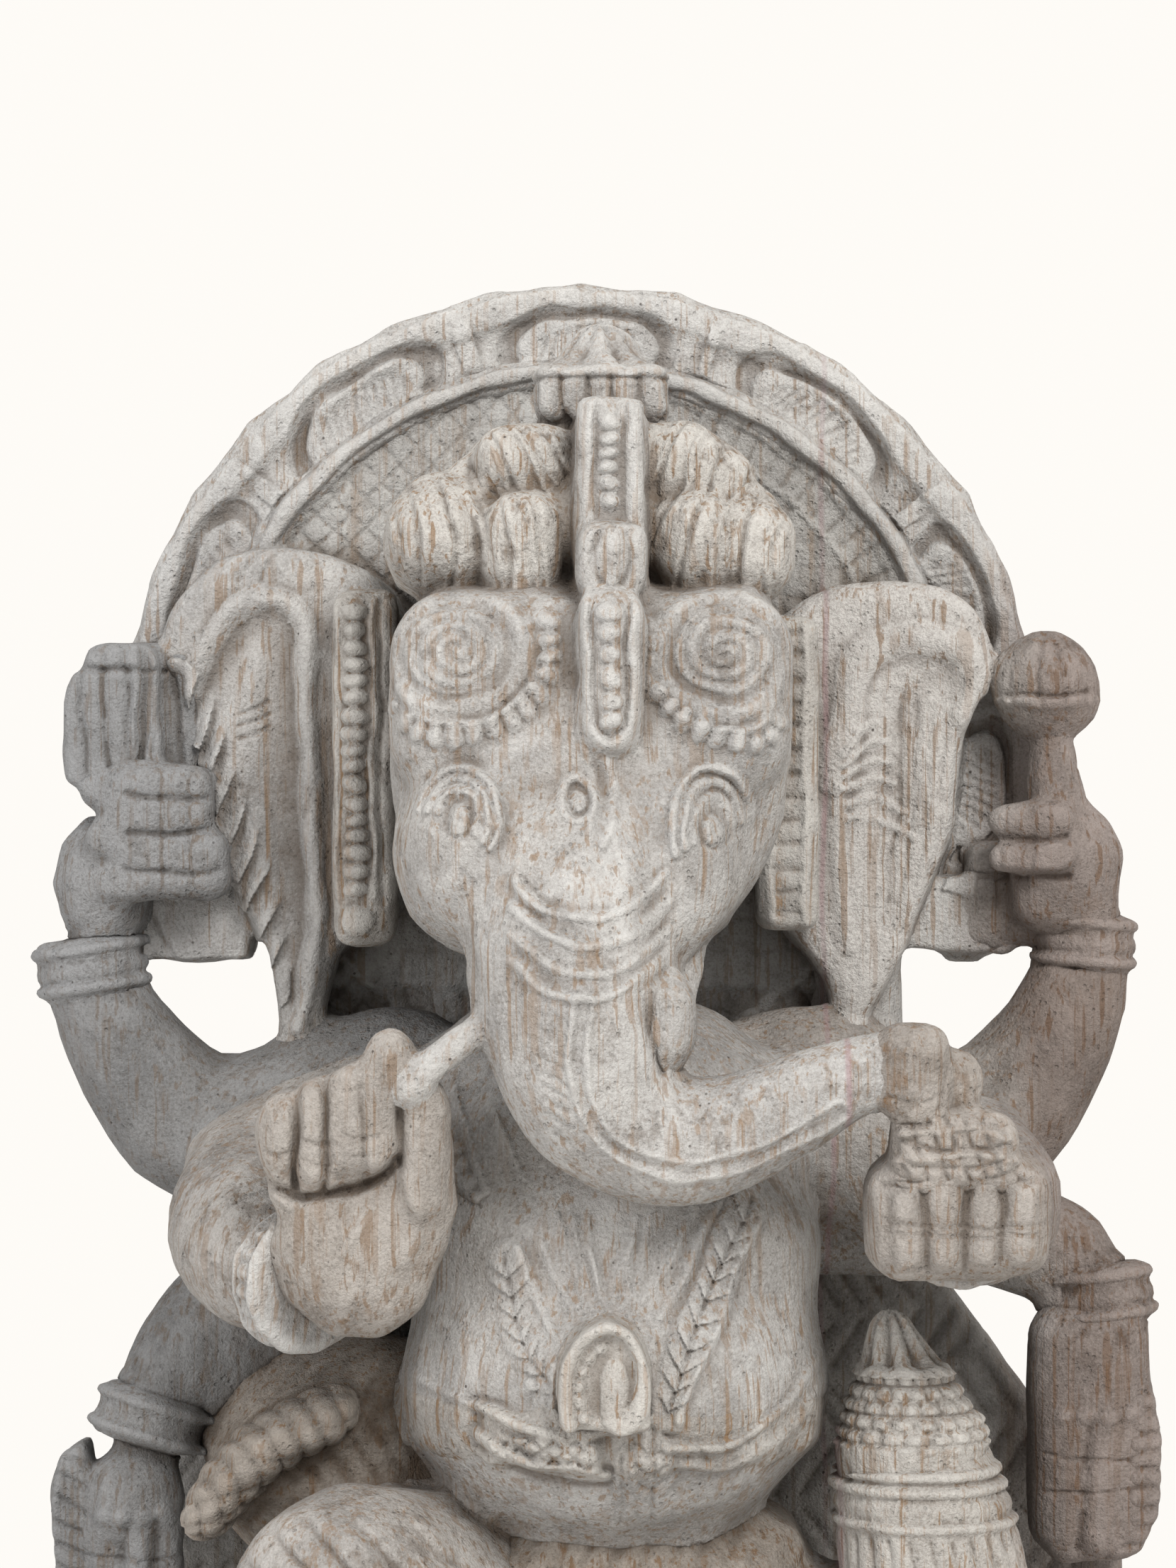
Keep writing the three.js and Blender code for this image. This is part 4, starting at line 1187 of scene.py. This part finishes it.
# Cool darkening for the left side: painted shade.
LEFT_SIDE_SHADE = (0.82, 0.83, 0.85)
PURPLE = (0.25, 0.16, 0.17)
VEIN_PLACE = 0.068
# Earthy tint for soiled members, also used as painted shade.
EARTH_AND_SHADE = (0.68, 0.62, 0.565)
STAINS = {"stone_pale": 0.75, "stone_warm": 1, "stone_cool": 0.6, "stone_mauve": 0.85, "stone_back": 0.6}


def stone_material(slot):
    material = bpy.data.materials.new(slot)
    material.use_nodes = True
    g = Graph(material)
    shader = material.node_tree.nodes["Principled BSDF"]
    stain = STAINS[slot]
    colour = PALE

    def paint(factor, tone, blend="MIX"):
        nonlocal colour
        colour = g.mix(factor, colour, tone, blend)

    nook = g.attribute("nook")
    recess = g.steps(g.attribute("recess"), -0.4, -3.4)
    soil_and_shade = g.attribute("soil_and_shade")
    clouds = g.noise(22, 6, 0.6)
    grain = g.noise(1500, 3, 0.7)
    grit = g.noise(1000, 2, 0.6)
    chalk = g.noise(48, 7, 0.72, (1, 1, 0.6), 0.6)
    patches = g.noise(14, 3, 0.5)
    streaks = g.noise(330, 4, 0.6, (1, 1, 0.035), 0.3)
    threads = g.noise(620, 3, 0.6, (1, 1, 0.02), 0.2)
    mottle = g.noise(130, 5, 0.72)

    paint(g.steps(clouds, 0.36, 0.66), GREY)
    # Chalk on members marked chalky: partly real bloom, partly painted light on members that catch the
    # light.
    paint(g.steps(soil_and_shade, 0, -1), CHALK_AND_HIGHLIGHT)
    paint(g.steps(grain, 0.42, 0.72, 0, 0.42), UMBER_AND_SHADE)
    paint(g.steps(grit, 0.52, 0.68, 0, 0.22), UMBER_AND_SHADE)
    paint(g.steps(grit, 0.46, 0.32, 0, 0.25), CHALK_AND_HIGHLIGHT)
    paint(g.times(g.steps(chalk, 0.42, 0.72), 0.6), CHALK_AND_HIGHLIGHT)
    streaky = g.times(g.steps(streaks, 0.54, 0.64), g.steps(patches, 0.36, 0.60, 0.14, 0.62 * stain))
    paint(streaky, RUST)
    paint(g.times(g.steps(threads, 0.55, 0.65), 0.78 * stain), RUST)
    paint(g.times(g.steps(mottle, 0.50, 0.66), g.steps(patches, 0.42, 0.64, 0.12, 0.62 * stain)), UMBER_AND_SHADE)
    # Painted shade: deep recesses are darkened and mottled brown, partly dirt and partly the shade under and
    # between parts.
    paint(g.times(recess, g.steps(mottle, 0.30, 0.62, 0.35, 0.75)), GRIME_AND_SHADE)
    # Painted shade: nooks and creases are darkened with umber, partly brown dirt in the crevices and partly
    # the shade that falls there.
    paint(g.times(g.steps(nook, -0.05, -0.85), 0.62), UMBER_AND_SHADE)
    # Painted highlight: carved edges are lightened with chalk, partly chalky wear and partly the light the
    # edges catch.
    paint(g.times(g.steps(nook, 0.20, 0.95), 0.38), CHALK_AND_HIGHLIGHT)
    # Earthy darkening on members marked soiled: partly real dirt, partly painted shade on members that sit
    # in shadow.
    paint(g.times(g.steps(soil_and_shade, 0, 1), g.steps(mottle, 0.2, 0.6, 0.75, 1)), EARTH_AND_SHADE, "MULTIPLY")

    across = g.node("ShaderNodeSeparateXYZ", Vector=g.place).outputs["X"]
    drift = g.math("ADD", across, g.times(g.noise(9, 3), 0.05))
    paint(g.steps(drift, 0.126, 0.150), MAUVE, "MULTIPLY")
    # Painted shade: the left side, turned away from the key light, is darkened and cooled.
    paint(g.steps(drift, -0.03, -0.12, 0, 0.8), LEFT_SIDE_SHADE, "MULTIPLY")
    wander = g.math("ADD", across, g.times(g.noise(12, 2, 0.5, (0, 0, 1)), 0.008))
    vein = g.steps(g.math("ABSOLUTE", g.math("SUBTRACT", wander, VEIN_PLACE)), 0.0012, 0.0002)
    paint(g.times(vein, g.steps(clouds, 0.3, 0.6, 0.15, 0.6)), PURPLE)
    specks = g.node("ShaderNodeTexVoronoi", Vector=g.place, Scale=330).outputs["Distance"]
    paint(g.times(g.steps(specks, 0.17, 0.08), g.steps(g.noise(120, 2), 0.58, 0.66, 0, 0.85)), SOOT)
    # Tone of each slot; for stone_cool this is painted shade.
    paint(1, TINTS_AND_SHADE[slot], "MULTIPLY")

    chisel = g.noise(380, 5, 0.68)
    pits = g.steps(g.node("ShaderNodeTexVoronoi", Vector=g.place, Scale=520).outputs["Distance"], 0.32, 0.12)
    pits = g.times(pits, g.steps(mottle, 0.48, 0.62))
    surface = g.math("ADD", g.times(grain, 0.30), g.times(chisel, 0.85))
    surface = g.math("SUBTRACT", surface, g.times(pits, 0.35))
    surface = g.math("SUBTRACT", surface, g.times(streaky, 0.12))
    relief = g.node("ShaderNodeBump", Height=surface, Strength=0.9, Distance=0.0022)
    g.feed(shader.inputs["Base Color"], colour)
    g.feed(shader.inputs["Roughness"], g.steps(grain, 0.3, 0.75, 0.78, 0.97))
    g.feed(shader.inputs["Specular IOR Level"], 0.28)
    g.feed(shader.inputs["Normal"], relief.outputs["Normal"])
    return material


STONES = {slot: stone_material(slot) for slot in sorted(set(SLOTS.values()))}

for member in NODES:
    carve(member)

# ---- floor, light and camera ----
LENS = 68.528
SENSOR = 24
CAMERA_HEIGHT = 0.318
CAMERA_BACK = 1.175
FLOOR_REACH = 0.58
FLOOR_SIDES = 96


def camera():
    data = bpy.data.cameras.new("camera")
    data.sensor_fit = "VERTICAL"
    data.sensor_height = SENSOR
    data.lens = LENS
    data.clip_start = 0.01
    viewer = link("camera", data)
    viewer.location = (0, -CAMERA_BACK, CAMERA_HEIGHT)
    viewer.rotation_euler = (math.pi / 2, 0, 0)
    bpy.context.scene.camera = viewer


def softbox(name, place, aim, size, power, colour):
    data = bpy.data.lights.new(name, "AREA")
    data.shape = "DISK"
    data.size = size
    data.energy = power
    data.color = colour
    lamp = link(name, data)
    lamp.location = place
    lamp.rotation_euler = (Vector(aim) - Vector(place)).to_track_quat("-Z", "Y").to_euler()


def studio():
    world = bpy.data.worlds.new("studio")
    bpy.context.scene.world = world
    world.use_nodes = True
    sky = world.node_tree.nodes["Background"]
    sky.inputs["Color"].default_value = (0.99, 0.965, 0.925, 1)
    sky.inputs["Strength"].default_value = 1
    bpy.context.scene.view_settings.view_transform = "Standard"
    softbox("key", (0.5, -1.15, 1.2), (0, 0, 0.28), 0.6, 28, (1, 0.985, 0.96))
    softbox("fill", (-1.1, -0.9, 0.6), (0, 0, 0.25), 0.9, 12, (0.98, 0.985, 1))


def ground():
    mesh = bpy.data.meshes.new("floor")
    turns = [2 * math.pi * i / FLOOR_SIDES for i in range(FLOOR_SIDES)]
    rim = [(FLOOR_REACH * math.cos(a), FLOOR_REACH * math.sin(a), 0) for a in turns]
    mesh.from_pydata(rim, [], [tuple(range(FLOOR_SIDES))])
    paint = bpy.data.materials.new("floor")
    paint.use_nodes = True
    shader = paint.node_tree.nodes["Principled BSDF"]
    shader.inputs["Base Color"].default_value = (0.86, 0.85, 0.83, 1)
    shader.inputs["Roughness"].default_value = 0.9
    mesh.materials.append(paint)
    link("floor", mesh)


camera()
studio()
ground()


def corners(box):
    return [[float(v) for v in corner] for corner in box]
